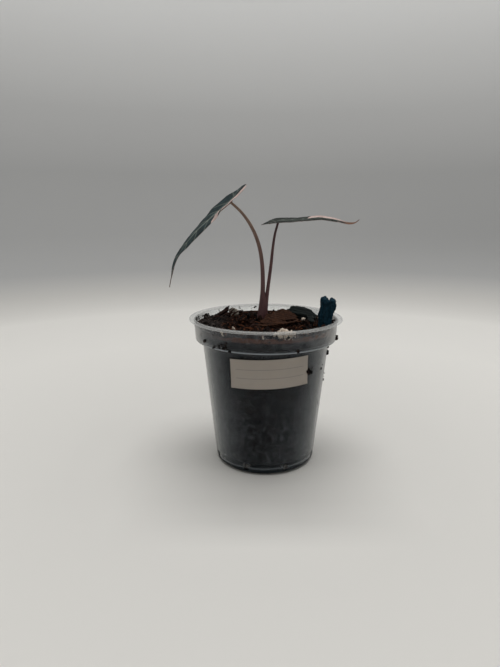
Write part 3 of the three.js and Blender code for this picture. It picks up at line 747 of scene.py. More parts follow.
def stalk_skin(name, low, high):
    """Satin stalk with fine lengthwise streaks, whose colour changes towards its top."""
    graph, place = new_material(name)
    streaks = graph.noise(graph.scaled(place, 1, 1, 0.09), 1700, 4, 0.6)
    blotches = graph.noise(graph.scaled(place, 1, 1, 0.4), 420, 4, 0.6)
    base = graph.mix(graph.span(graph.attribute("along"), 0.45, 1.0), low, high)
    base = graph.mix(graph.span(streaks, 0.35, 0.75, 0, 0.55), base, STALK_STREAKS)
    base = graph.mix(graph.span(blotches, 0.5, 0.8, 0, 0.35), base, STALK_BLOTCHES)
    return show(graph, principled(graph, base, 0.42, graph.bump(streaks, 0.1, 0.5), Specular_IOR_Level=0.4))


def leaf_upper():
    """Leathery dark blue-green with pale veins and pink margins, drawn by the blade's own attributes."""
    plant = bpy.context.scene.alocasia_plant
    graph, place = new_material("leaf_upper")
    cells = graph.fine_cells(place)
    mottle = graph.noise(place, 330, 5, 0.6)
    blade = graph.mix(graph.span(mottle, 0.36, 0.66), shaded(plant.leaf, 0.8), shaded(plant.leaf, 2.3))
    # The right blade's upper side is darker and warmer
    right = graph.span(graph.axis(place, 0), -5 * MM, 2 * MM)
    blade = graph.mix(right, blade, RIGHT_BLADE_DARKER_WARMER, "MULTIPLY")
    blade = graph.mix(graph.span(cells, 0.0, 0.1, 0.08, 0.0), blade, plant.vein)
    ragged = graph.times(graph.minus(graph.noise(place, 520, 4, 0.65), 0.5), 1.1)
    pink = graph.span(graph.plus(graph.attribute("pink"), ragged), 0.36, 0.56)
    faded = graph.mix(graph.span(mottle, 0.4, 0.6), shaded(plant.pink, 0.72), plant.pink)
    base = graph.mix(pink, blade, faded)
    vein = graph.times(graph.attribute("vein"), graph.span(mottle, 0.2, 0.6, 0.6, 1.0), clamp=True)
    base = graph.mix(vein, base, plant.vein)
    base = graph.mix(graph.times(graph.attribute("margin"), 0.6), base, shaded(plant.pink, 0.4))
    base = graph.mix(graph.attribute("brown"), base, DRY_LEAF)
    normal = graph.bump(graph.plus(cells, graph.times(mottle, 0.5)), 0.12, 0.5)
    roughness = graph.span(mottle, 0.3, 0.7, 0.45, 0.6)
    return show(graph, principled(graph, base, roughness, normal, Specular_IOR_Level=0.06))


def leaf_underside():
    """Dull purplish pink with raised greener veins."""
    plant = bpy.context.scene.alocasia_plant
    graph, place = new_material("leaf_underside")
    mottle = graph.noise(place, 300, 5, 0.6)
    base = graph.mix(graph.span(mottle, 0.3, 0.75), plant.underside, shaded(plant.underside, 0.55))
    base = graph.mix(graph.times(graph.attribute("pink"), 0.8), base, plant.pink)
    base = graph.mix(graph.times(graph.attribute("vein"), 0.7), base, UNDER_VEINS)
    base = graph.mix(graph.attribute("brown"), base, DRY_LEAF)
    normal = graph.bump(graph.plus(graph.fine_cells(place), mottle), 0.12, 0.5)
    return show(graph, principled(graph, base, 0.5, normal, Specular_IOR_Level=0.35))


def bark_skin(name, base_colour, pale, grain, roughness=0.85, dark=None):
    """Weathered bark with fibres along its grain, dark cracks between them and worn, paler edges."""
    graph, place = new_material(name)
    turn = Vector((1, 0, 0)).rotation_difference(Vector(grain)).inverted().to_euler()
    inputs = {"Vector": place, "Rotation": turn}
    turned_place = graph.add("ShaderNodeVectorRotate", inputs, rotation_type="EULER_XYZ").outputs[0]
    fibres = graph.noise(graph.scaled(turned_place, 0.12, 1, 1), 1500, 5, 0.65)
    blotches = graph.noise(place, 300, 4, 0.6)
    base = graph.mix(graph.span(fibres, 0.35, 0.7), dark or shaded(base_colour, 0.35), base_colour)
    base = graph.mix(graph.span(blotches, 0.52, 0.75, 0, 0.6), base, pale)
    base = graph.mix(graph.pointiness(0.5, 0.56, 0, 0.5), base, pale)
    normal = graph.bump(fibres, 0.3, 0.8)
    normal = graph.bump(blotches, 0.25, 0.5, normal)
    return show(graph, principled(graph, base, roughness, normal, Specular_IOR_Level=0.1))


def charcoal_skin():
    """Blue-black charcoal with a fine upright grain and a faint sheen."""
    chips = bpy.context.scene.alocasia_chips
    graph, place = new_material("charcoal")
    grain = graph.noise(graph.scaled(place, 1, 1, 0.1), 1800, 5, 0.6)
    ash = graph.noise(graph.scaled(place, 1, 1, 0.4), 520, 5, 0.65)
    base = graph.mix(graph.span(grain, 0.3, 0.75), shaded(chips.charcoal, 0.35), shaded(chips.charcoal, 1.7))
    base = graph.mix(graph.span(ash, 0.6, 0.8, 0, 0.4), base, CHARCOAL_ASH)
    roughness = graph.span(ash, 0.3, 0.7, 0.5, 0.8)
    normal = graph.bump(grain, 0.25, 0.8)
    return show(graph, principled(graph, base, roughness, normal, Specular_IOR_Level=0.1))


def perlite_skin(name="perlite"):
    """Crumbly off-white grains, stained brown in their hollows."""
    chips = bpy.context.scene.alocasia_chips
    graph, place = new_material(name)
    pores = graph.noise(place, 1500, 4, 0.6)
    stains = graph.noise(place, 520, 4, 0.6)
    base = graph.mix(graph.span(stains, 0.48, 0.72, 0, 0.55), chips.perlite, PERLITE_STAINS)
    base = graph.mix(graph.pointiness(0.42, 0.5, 0.55, 0), base, PERLITE_HOLLOWS)
    return show(graph, principled(graph, base, 0.9, graph.bump(pores, 0.2, 0.7)))


def corm_skin():
    """Papery pale brown skin of corm and roots."""
    graph, place = new_material("corm")
    bands = graph.noise(graph.scaled(place, 0.3, 0.3, 1), 700, 4, 0.6)
    base = graph.mix(graph.span(bands, 0.35, 0.7), *CORM_SKIN)
    return show(graph, principled(graph, base, 0.8, graph.bump(bands, 0.25, 0.7)))


def grid_faces(rows, columns, wrap=False, start=0, flip=False):
    """Quads between the neighbours of a grid of points that is stored row by row."""
    last = columns if wrap else columns - 1
    row, column = np.meshgrid(np.arange(rows - 1), np.arange(last), indexing="ij")
    after = (column + 1) % columns
    corners = [row * columns + column, row * columns + after]
    corners += [(row + 1) * columns + after, (row + 1) * columns + column]
    faces = np.stack(corners, axis=-1).reshape(-1, 4) + start
    return (faces[:, ::-1] if flip else faces).tolist()


def caps(segments, first, last, bottom, top):
    """Triangles from the first ring's points to the bottom one, and from the last ring's to the top one."""
    faces = []
    for j in range(segments):
        after = (j + 1) % segments
        faces.append([bottom, first + after, first + j])
        faces.append([top, last + j, last + after])
    return faces


def linked(name, data):
    obj = bpy.data.objects.new(name, data)
    bpy.context.scene.collection.objects.link(obj)
    return obj


def shade_smooth(mesh, sharp):
    """Smooth shading, but for edges sharper than an angle in degrees."""
    mesh.shade_smooth()
    mesh.set_sharp_from_angle(angle=math.radians(sharp))


def new_object(name, points, faces, material=None, edges=(), sharp=45):
    """A smooth-shaded object from points in millimetres."""
    mesh = bpy.data.meshes.new(name)
    mesh.from_pydata((np.asarray(points, float) * MM).tolist(), list(edges), faces)
    if faces:
        shade_smooth(mesh, sharp)
    if material is not None:
        mesh.materials.append(material)
    return linked(name, mesh)


def store(obj, name, values):
    """Keeps one number for each vertex as an attribute that a material or a tree reads."""
    attribute = obj.data.attributes.new(name, "FLOAT", "POINT")
    attribute.data.foreach_set("value", np.asarray(values, np.float32))


def tidy_mesh(obj, distance, fill=False, sharp=45):
    """Merges doubled vertices, closes small holes if asked, and sets the shading again."""
    work = bmesh.new()
    work.from_mesh(obj.data)
    bmesh.ops.remove_doubles(work, verts=work.verts, dist=distance * MM)
    bmesh.ops.dissolve_degenerate(work, edges=work.edges, dist=distance * MM / 2)
    if fill:
        bmesh.ops.holes_fill(work, edges=[e for e in work.edges if e.is_boundary], sides=12)
    work.to_mesh(obj.data)
    work.free()
    shade_smooth(obj.data, sharp)


def bake(obj):
    """Replaces the object's mesh by what its modifiers make of it, and removes them."""
    depsgraph = bpy.context.evaluated_depsgraph_get()
    made = bpy.data.meshes.new_from_object(
        obj.evaluated_get(depsgraph), preserve_all_data_layers=True, depsgraph=depsgraph
    )
    obj.modifiers.clear()
    obj.data = made


def run_tree(obj, tree, inputs):
    """Puts the object through a geometry tree, whose inputs are set by their names."""
    modifier = obj.modifiers.new(tree.name, "NODES")
    modifier.node_group = tree
    for item in tree.interface.items_tree:
        if item.item_type == "SOCKET" and item.in_out == "INPUT" and item.name in inputs:
            modifier[item.identifier] = inputs[item.name]
    bake(obj)
    if not obj.data.polygons:
        raise RuntimeError(f"{tree.name} made nothing of {obj.name}")


def dress(obj, slot, *nodes):
    """Makes the piece ride on the plant and stand for its nodes of the packed model."""
    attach(obj, "root")
    if nodes:
        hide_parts(*nodes)
    return obj


def geometry_tree(name, sockets):
    """A geometry tree with its group inputs, each a type and a default."""
    tree = bpy.data.node_groups.new(name, "GeometryNodeTree")
    tree.interface.new_socket("Geometry", in_out="INPUT", socket_type="NodeSocketGeometry")
    for label, (kind, default) in sockets.items():
        socket = tree.interface.new_socket(label, in_out="INPUT", socket_type="NodeSocket" + kind)
        if default is not None:
            socket.default_value = default
    tree.interface.new_socket("Geometry", in_out="OUTPUT", socket_type="NodeSocketGeometry")
    graph = Graph(tree)
    return tree, graph, graph.add("NodeGroupInput").outputs


def close_tree(graph, geometry, given):
    """Realizes the instances, sets the material and hands the geometry out."""
    made = graph.realized(geometry)
    made = graph.add("GeometryNodeSetMaterial", {"Geometry": made, "Material": given["Material"]}).outputs[0]
    graph.add("NodeGroupOutput", {"Geometry": made})


def keep_on_instances(graph, instances, name, value):
    inputs = {"Geometry": instances, "Name": name, "Value": value}
    kept = graph.add("GeometryNodeStoreNamedAttribute", inputs, data_type="FLOAT", domain="INSTANCE")
    return kept.outputs[0]


def lumps_on(graph, points, size, given):
    """A rough lump on each point, flattened, turned at random and tinted."""
    inputs = {"Radius": 1.0, "Subdivisions": given["Fineness"]}
    ball = graph.add("GeometryNodeMeshIcoSphere", inputs).outputs[0]
    inputs = {1: (ALL_ROUND, ALL_ROUND, ALL_ROUND), "Seed": 3}
    turn = graph.add("FunctionNodeRandomValue", inputs, data_type="FLOAT_VECTOR").outputs[0]
    slim = graph.times(size, graph.random(given["Slimmest"], 1.0, 4))
    flat = graph.times(size, given["Flatness"])
    scale = graph.add("ShaderNodeCombineXYZ", {0: size, 1: slim, 2: flat}).outputs[0]
    lumps = graph.copies(points, ball, turn, Scale=scale)
    lumps = keep_on_instances(graph, lumps, "tint", graph.random(given["Least tint"], given["Most tint"], 5))
    lumps = keep_on_instances(graph, lumps, "lump_size", size)
    lumps = graph.realized(lumps)
    place = graph.add("GeometryNodeInputPosition").outputs[0]
    dents = graph.minus(graph.noise(place, given["Dent scale"], 2.0, 0.6), 0.5)
    depth = graph.times(graph.times(dents, given["Roughness"]), graph.named("lump_size"))
    normal = graph.add("GeometryNodeInputNormal").outputs[0]
    offset = graph.add("ShaderNodeVectorMath", {0: normal, "Scale": depth}, operation="SCALE").outputs[0]
    return graph.add("GeometryNodeSetPosition", {"Geometry": lumps, "Offset": offset}).outputs[0]


LUMP_SOCKETS = {
    "Fineness": ("Int", 2),
    "Slimmest": ("Float", 0.55),
    "Flatness": ("Float", 0.7),
    "Roughness": ("Float", 2.2),
    "Dent scale": ("Float", 900.0),
    "Least tint": ("Float", 0.0),
    "Most tint": ("Float", 1.0),
    "Material": ("Material", None),
}


def scattered_points(graph, given):
    """Points scattered over the mesh, where its vertices leave room."""
    density = graph.times(graph.named("room"), given["Density"])
    inputs = {"Mesh": given["Geometry"], "Density": density, "Seed": given["Seed"]}
    return graph.add("GeometryNodeDistributePointsOnFaces", inputs).outputs["Points"]


def scattered_lumps_tree():
    """Lumps of many sizes scattered over a surface, most of them small."""
    sockets = {
        "Density": ("Float", 1e5),
        "Seed": ("Int", 1),
        "Smallest": ("Float", 0.3 * MM),
        "Largest": ("Float", 1.2 * MM),
        **LUMP_SOCKETS,
    }
    tree, graph, given = geometry_tree("Scattered lumps", sockets)
    points = scattered_points(graph, given)
    size = graph.random_size(given["Smallest"], given["Largest"], 2, 2.5)
    close_tree(graph, lumps_on(graph, points, size, given), given)
    return tree


def placed_lumps_tree():
    """A lump on each vertex, as large as the vertex's own size says."""
    tree, graph, given = geometry_tree("Placed lumps", LUMP_SOCKETS)
    close_tree(graph, lumps_on(graph, given["Geometry"], graph.named("size"), given), given)
    return tree


def fibres_tree():
    """Thin arched fibres scattered over a surface, turned every way."""
    sockets = {
        "Density": ("Float", 1e5),
        "Seed": ("Int", 1),
        "Shortest": ("Float", 0.7 * MM),
        "Longest": ("Float", 2.6 * MM),
        "Thickness": ("Float", 0.24 * MM),
        "Material": ("Material", None),
    }
    tree, graph, given = geometry_tree("Scattered fibres", sockets)
    points = scattered_points(graph, given)
    inputs = {"Resolution": 7, "Start": (-1, 0, -0.12), "Middle": (0, 0.12, 0.3), "End": (1, 0, -0.12)}
    arch = graph.add("GeometryNodeCurveArc", inputs, mode="POINTS").outputs["Curve"]
    tilts = {0: (-0.35, -0.3, 0.0), 1: (0.35, 0.3, ALL_ROUND), "Seed": 6}
    turn = graph.add("FunctionNodeRandomValue", tilts, data_type="FLOAT_VECTOR").outputs[0]
    length = graph.random_size(given["Shortest"], given["Longest"], 7, 2.0)
    fibres = graph.copies(points, arch, turn, Scale=length)
    fibres = keep_on_instances(graph, fibres, "tint", graph.random(0.45, 1.1, 8))
    thickness = graph.times(given["Thickness"], graph.random(0.5, 1.0, 9))
    fibres = graph.realized(keep_on_instances(graph, fibres, "thickness", thickness))
    close_tree(graph, graph.rods(fibres, 5, graph.named("thickness")), given)
    return tree


def rods_tree():
    """Round rods along the edges of a mesh, as thick as their vertices say."""
    sockets = {"Sides": ("Int", 24), "Material": ("Material", None)}
    tree, graph, given = geometry_tree("Tapering rods", sockets)
    curve = graph.add("GeometryNodeMeshToCurve", {"Mesh": given["Geometry"]}).outputs[0]
    close_tree(graph, graph.rods(curve, given["Sides"], graph.named("radius")), given)
    return tree


def drains_tree():
    """Cuts a ring of square slots through the foot of the pot."""
    sockets = {
        "Slots": ("Int", DRAIN_SLOTS),
        "Inner radius": ("Float", DRAIN_INNER_RADIUS * MM),
        "Low": ("Float", DRAIN_LOW_Z * MM),
        "High": ("Float", DRAIN_TOP_Z * MM),
        "Width": ("Float", DRAIN_WIDTH * MM),
        "Material": ("Material", None),
    }
    tree, graph, given = geometry_tree("Drain slots", sockets)
    height = graph.minus(given["High"], given["Low"])
    size = graph.add("ShaderNodeCombineXYZ", {0: given["Width"], 1: DRAIN_REACH * MM, 2: height}).outputs[0]
    brick = graph.add("GeometryNodeMeshCube", {"Size": size}).outputs["Mesh"]
    middle = graph.plus(given["Low"], graph.times(height, 0.5))
    out = graph.plus(given["Inner radius"], DRAIN_REACH / 2 * MM)
    shift = graph.add("ShaderNodeCombineXYZ", {1: out, 2: middle}).outputs[0]
    brick = graph.add("GeometryNodeTransform", {"Geometry": brick, "Translation": shift}).outputs[0]
    spot = graph.add("GeometryNodePoints", {"Count": given["Slots"]}).outputs[0]
    number = graph.add("GeometryNodeInputIndex").outputs[0]
    share = graph.math("DIVIDE", graph.plus(number, 0.5), given["Slots"])
    angle = graph.add("ShaderNodeCombineXYZ", {2: graph.times(share, 2 * math.pi)}).outputs[0]
    inputs = {0: given["Geometry"], 1: graph.realized(graph.copies(spot, brick, angle))}
    cut = graph.add("GeometryNodeMeshBoolean", inputs, operation="DIFFERENCE", solver="EXACT").outputs[0]
    close_tree(graph, cut, given)
    return tree


def turned(profile, segments):
    """A closed solid of revolution from pairs of radius and height, which start and end on the axis."""
    turns = np.linspace(0, 2 * np.pi, segments, endpoint=False)
    between = np.array(profile[1:-1], float)
    rings = np.empty((len(between), segments, 3))
    rings[:, :, 0] = between[:, :1] * np.sin(turns)
    rings[:, :, 1] = -between[:, :1] * np.cos(turns)
    rings[:, :, 2] = between[:, 1:]
    points = np.vstack([[0, 0, profile[0][1]], rings.reshape(-1, 3), [0, 0, profile[-1][1]]])
    faces = grid_faces(len(between), segments, wrap=True, start=1)
    faces += caps(segments, 1, 1 + (len(between) - 1) * segments, 0, len(points) - 1)
    return points, faces


def arc(centre, radius, start, end, steps):
    """Points on a round stretch of a profile, between two angles in degrees."""
    turns = np.radians(np.linspace(start, end, steps + 1))
    return [(centre[0] + radius * math.cos(t), centre[1] + radius * math.sin(t)) for t in turns]


def body_radius(z):
    return BODY_FOOT_RADIUS + (BODY_TOP_RADIUS - BODY_FOOT_RADIUS) * np.asarray(z) / LEDGE_Z


def wall_radius(z):
    """The pot's outer radius at a height, collar and body."""
    up = np.asarray(z) - LEDGE_Z
    collar = COLLAR_FOOT_RADIUS + (COLLAR_TOP_RADIUS - COLLAR_FOOT_RADIUS) * up / COLLAR_HEIGHT
    return np.where(np.asarray(z) > LEDGE_Z, collar, body_radius(z))


def pot_profile():
    """The wall from the middle of its underside, round the foot, up to the rolled rim and down inside."""
    pot = bpy.context.scene.alocasia_pot
    rim, height, wall = pot.rim_radius / MM, pot.height / MM, pot.wall / MM
    foot_centre = body_radius(FOOT_ROUNDING) - FOOT_ROUNDING
    under = height - LIP_THICKNESS
    low_walls = [(body_radius(z), z) for z in (3.2, 4.2, 5.2, 5.7, 6.2, *np.linspace(9, LEDGE_Z - 1.5, 13))]
    return [
        (0, FLOOR_Z - wall),
        (7.6, FLOOR_Z - wall),
        (8, FLOOR_Z - wall - 0.3),
        (8.6, FLOOR_Z - wall - 0.3),
        (9, FLOOR_Z - wall),
        (foot_centre - 0.5, FLOOR_Z - wall),
        *arc((foot_centre - 0.5, FLOOR_Z - wall - 0.5), 0.5, 90, 0, 3),
        (foot_centre, wall),
        (FOOT_LIP_RADIUS, wall),
        *arc((FOOT_LIP_RADIUS + 0.3, 0.3), 0.3, 180, 270, 3),
        *arc((foot_centre, FOOT_ROUNDING), FOOT_ROUNDING, -90, 0, 8),
        *low_walls,
        *arc((BODY_TOP_RADIUS + 0.45, LEDGE_Z - 0.45), 0.5, 180, 100, 4),
        (COLLAR_FOOT_RADIUS - 0.9, LEDGE_Z - 0.05),
        *arc((COLLAR_FOOT_RADIUS - 0.45, LEDGE_Z + 0.15), 0.45, -90, 0, 4),
        (COLLAR_TOP_RADIUS - 0.05, under - 0.7),
        *arc((COLLAR_TOP_RADIUS + 0.55, under - 0.6), 0.6, 180, 90, 4),
        (rim - 0.9, under),
        *arc((rim - 0.45, under + 0.45), 0.45, -90, 90, 8),
        (rim - 1.2, height - 0.02),
        *arc((LIP_INNER_RADIUS + 0.3, height - 0.3), 0.3, 90, 180, 3),
        (COLLAR_TOP_RADIUS - wall, under - 0.3),
        (COLLAR_FOOT_RADIUS - wall, LEDGE_Z + wall + 0.8),
        *arc((COLLAR_FOOT_RADIUS - wall - 0.5, LEDGE_Z + wall + 0.5), 0.5, 0, -90, 3),
        (BODY_TOP_RADIUS - wall + 0.4, LEDGE_Z + wall),
        *arc((BODY_TOP_RADIUS - wall + 0.35, LEDGE_Z + wall - 0.35), 0.35, 90, 180, 3),
        *[(body_radius(z) - wall, z) for z in np.linspace(LEDGE_Z - 1, FLOOR_Z + 1.2, 14)],
        *arc((body_radius(FLOOR_Z) - wall - 0.8, FLOOR_Z + 0.8), 0.8, 0, -90, 3),
        (0, FLOOR_Z),
    ]


def soil_height(x, y):
    out = np.hypot(x, y) / COLLAR_TOP_RADIUS
    back = np.clip(y / COLLAR_TOP_RADIUS, 0, 1)
    z = SOIL_EDGE_Z + SOIL_MOUND * (1 - out * out) - SOIL_BACK_DROP * back * back * (3 - 2 * back)
    for height, along_x, along_y, start in SOIL_WAVES:
        z = z + height * np.sin(along_x * x + along_y * y + start)
    for at_x, at_y, reach, depth in SOIL_HOLLOWS:
        z = z - depth * np.exp(-((x - at_x) ** 2 + (y - at_y) ** 2) / reach**2)
    return z


def smooth(value):
    value = np.clip(value, 0, 1)
    return value * value * (3 - 2 * value)


def cells(points, seeds):
    """How far inside its nearest seed's cell each point lies, and the number of that seed."""
    tree = kdtree.KDTree(len(seeds))
    for number, seed in enumerate(seeds):
        tree.insert(seed, number)
    tree.balance()
    found = [tree.find_n(p, 2) for p in points]
    inside = np.array([pair[1][2] - pair[0][2] for pair in found])
    return inside, np.array([pair[0][1] for pair in found])


def field(points, scale, octaves, seed):
    """Smooth noise between about -1 and 1 at each point, with a scale for each axis."""
    places = np.asarray(points) * np.asarray(scale) + seed
    return np.array([noise.fractal(Vector(p), 1.0, 2.0, octaves) for p in places])


def soil_solid():
    """Rings of points up the side of the mix and over its top, roughened by the crumbs pressed together."""
    pot = bpy.context.scene.alocasia_pot
    wall = pot.wall / MM
    under, up_side, on_ledge, up_collar, over_top = MIX_RINGS
    rise = np.linspace(FLOOR_Z + 1.6, LEDGE_Z - 0.2, up_side)
    shelf = np.linspace(BODY_TOP_RADIUS, COLLAR_FOOT_RADIUS - wall - 0.5, on_ledge)
    last_rise = np.linspace(LEDGE_Z + 1.6, SOIL_EDGE_Z - 0.6, up_collar)
    rings = [(r, FLOOR_Z + 0.3) for r in np.linspace(2, body_radius(FLOOR_Z) - wall - 2.6, under)]
    rings += [(body_radius(z) - wall - MIX_GAP - 1.6 * (1 - smooth((z - FLOOR_Z) / 3.6)), z) for z in rise]
    rings += [(r, LEDGE_Z + wall + 0.15) for r in shelf]
    rings += [(wall_radius(z) - wall - MIX_GAP, z) for z in last_rise]
    side = len(rings)
    rings += [(r, 0.0) for r in np.linspace(COLLAR_TOP_RADIUS - wall - 0.35, 0.25, over_top)]
    rings = np.array(rings)
    radius = np.repeat(rings[:, 0], MIX_COLUMNS)
    z = np.repeat(rings[:, 1], MIX_COLUMNS)
    turn = np.tile(np.linspace(0, 2 * np.pi, MIX_COLUMNS, endpoint=False), len(rings))
    on_top = np.repeat(np.arange(len(rings)) >= side, MIX_COLUMNS)
    x, y = radius * np.sin(turn), -radius * np.cos(turn)
    z = np.where(on_top, soil_height(x, y), z)
    places = np.stack([x, y, z], axis=1)
    random = np.random.default_rng(PRESSED_SEED)
    big_inside, big = cells(places, seeds_on_soil(random, PRESSED_CLODS))
    small_inside, small = cells(places, seeds_on_soil(random, PRESSED_CRUMBS))
    recess = random.random(PRESSED_CLODS)[big] ** 2
    gap = 1 - smooth(big_inside / 1.1)
    crack = 1 - smooth(small_inside / 0.5)
    inward = 0.15 * recess + 0.1 * gap + 0.04 * crack
    waist = np.where(on_top | (z < FLOOR_Z + 1), 0, inward)
    radius = radius - waist
    mounds = 1.4 * smooth(big_inside / 1.6) * random.random(PRESSED_CLODS)[big] - 1.1
    pebbles = 0.6 * smooth(small_inside / 0.8) * random.random(PRESSED_CRUMBS)[small] - 0.3
    z = z + np.where(on_top, mounds + pebbles, 0)
    points = np.stack([radius * np.sin(turn), -radius * np.cos(turn), z], axis=1)
    tint = 0.4 * random.random(PRESSED_CRUMBS)[small] + 0.3 * random.random(PRESSED_CLODS)[big]
    tint = np.where(on_top, tint, 0.25 * tint + 0.09 + 0.8 * smooth((z - 67.2) / 1.2))
    shadow = np.clip(0.15 * gap + 0.08 * crack + 0.4 * recess, 0, 1)
    return points, len(rings), tint, np.where(on_top, np.clip(crack + gap, 0, 0.9), shadow)


def seeds_on_soil(random, count):
    """Random places all over the outside of the mix, for the crumbs that show there."""
    turn = random.random(count) * 2 * np.pi
    up = random.random(count)
    top = random.random(count) < SHARE_ON_TOP
    on_side = np.where(up > SHARE_BELOW_LEDGE, COLLAR_REACH, body_radius(4 + 68 * up) - 1)
    r = np.where(top, TOP_REACH * np.sqrt(up), on_side)
    x, y = r * np.sin(turn), -r * np.cos(turn)
    return np.stack([x, y, np.where(top, soil_height(x, y), 4 + 67.5 * up)], axis=1)


def soil_top():
    """A plain sheet that follows the top of the mix, for the trees to scatter on."""
    radius = np.repeat(np.linspace(0.4, SHEET_RADIUS, SHEET_RINGS), SHEET_COLUMNS)
    turn = np.tile(np.linspace(0, 2 * np.pi, SHEET_COLUMNS, endpoint=False), SHEET_RINGS)
    x, y = radius * np.cos(turn), radius * np.sin(turn)
    points = np.stack([x, y, soil_height(x, y) - SHEET_DEPTH], axis=1)
    return points, grid_faces(SHEET_RINGS, SHEET_COLUMNS, wrap=True, flip=True)


def room_for_crumbs(points, clearance):
    """One where a crumb may lie, and none closer to the pieces on the mix than the clearance."""
    away = np.full(len(points), 1e3)
    for mesh in [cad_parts[node].data for node in LAID_ON_MIX]:
        corners = [v.co / MM for v in mesh.vertices]
        tree = bvhtree.BVHTree.FromPolygons(corners, [p.vertices for p in mesh.polygons])
        away = np.minimum(away, [tree.find_nearest(point)[3] for point in points])
    return smooth((away - clearance) / 0.8)


def smooth_line(points, steps):
    """Close points on a centripetal Catmull-Rom curve through the given ones."""
    given = np.asarray(points, float)
    given = np.vstack([2 * given[0] - given[1], given, 2 * given[-1] - given[-2]])
    line = []
    for a, b, c, d in zip(given, given[1:], given[2:], given[3:]):
        first, middle, last = (math.sqrt(np.linalg.norm(q - p)) for p, q in ((a, b), (b, c), (c, d)))
        out = ((b - a) / first - (c - a) / (first + middle) + (c - b) / middle) * middle
        into = ((c - b) / middle - (d - b) / (middle + last) + (d - c) / last) * middle
        for t in np.arange(steps) / steps:
            bend = (-3 * b + 3 * c - 2 * out - into) * t**2 + (2 * b - 2 * c + out + into) * t**3
            line.append(b + out * t + bend)
    line.append(given[-2])
    return np.array(line)


def lengths_of(line):
    return np.concatenate([[0], np.cumsum(np.linalg.norm(np.diff(line, axis=0), axis=1))])


def looked_up(distance, lengths, values):
    return np.stack([np.interp(distance, lengths, values[:, k]) for k in range(3)], axis=-1)


def unit(vectors):
    return vectors / np.linalg.norm(vectors, axis=-1, keepdims=True)


def blade_edge(s, blade, length):
    """Half the blade's width at a distance from the stalk, positive towards the tip."""
    left = np.clip(1 - s / length, 0, 1)
    drip = 1 - DRIP_TIP_NARROWING * smooth((1 - left - blade["drip_tip_start"]) / 0.1)
    front = blade["half_width"] * left**OUTLINE_TAPER * (1 + OUTLINE_SHOULDER * (1 - left)) * drip
    front = np.maximum(front, DRIP_TIP_RADIUS * np.sqrt(np.clip(left / 0.02, 0, 1)))
    t = np.clip(-s / blade["lobe_length"], 0, 1)
    lobe = 1 - LOBE_NARROWING * t - (1 - LOBE_NARROWING - LOBE_TIP) * t ** blade["lobe_taper"]
    return np.where(s < 0, blade["half_width"] * lobe, front)


def sinus_edge(s, blade):
    t = np.clip(-s / blade["lobe_length"], 0, 1)
    return blade["half_width"] * (SINUS_ROUNDING * np.sqrt(t) + (LOBE_TIP - SINUS_ROUNDING) * t)


def ridge(distance, width):
    return np.exp(-((distance / width) ** 2))


def vein_strength(s, u, blade, length):
    """How much of a vein each place of the blade is: the midrib, the ribs of the lobes and the side veins."""
    a = np.abs(u)
    taper = np.clip(1 - s / length, 0.25, 1)
    midrib = ridge(u, 0.85 * taper) * smooth((s + 1.2) / 1.2)
    rib = np.array([-0.8 * blade["lobe_length"], 0.56 * blade["half_width"]])
    t = np.clip((s * rib[0] + a * rib[1]) / (rib @ rib), 0, 1)
    lobes = ridge(np.hypot(s - t * rib[0], a - t * rib[1]), 0.5 - 0.25 * t)
    sides = np.zeros_like(s)
    width = 0.36 * (1 - 0.45 * a / blade["half_width"])
    for start in SIDE_VEINS:
        reach = start * length + VEIN_SLANT * a + VEIN_BEND * a * a
        sides = np.maximum(sides, ridge((s - reach) / (1.2 + 0.06 * a), width))
    for start in LOBE_VEINS:
        reach = start * rib[0] - 0.12 * (a - start * rib[1])
        outer = smooth((a - start * rib[1]) / 0.5)
        sides = np.maximum(sides, outer * ridge(s - reach, width))
    return midrib, np.maximum(lobes, 0.85 * sides)


def eased(s, knots):
    """A smooth run through the values of the knots, each a distance and a value."""
    places, values = np.array(knots, float).T
    k = np.clip(np.searchsorted(places, s) - 1, 0, len(places) - 2)
    return values[k] + (values[k + 1] - values[k]) * smooth((s - places[k]) / (places[k + 1] - places[k]))


def blade_lift(s, u, side, blade):
    """How far the blade's middle surface lies above the flat: its half's slope, and ripples at its margin."""
    a = np.abs(u)
    ripple = 0.07 * np.sin(2 * np.pi * s / 7.3 + 1 + side) * (a / blade["half_width"]) ** 3
    return eased(s, blade["slopes"][side > 0]) * a + ripple


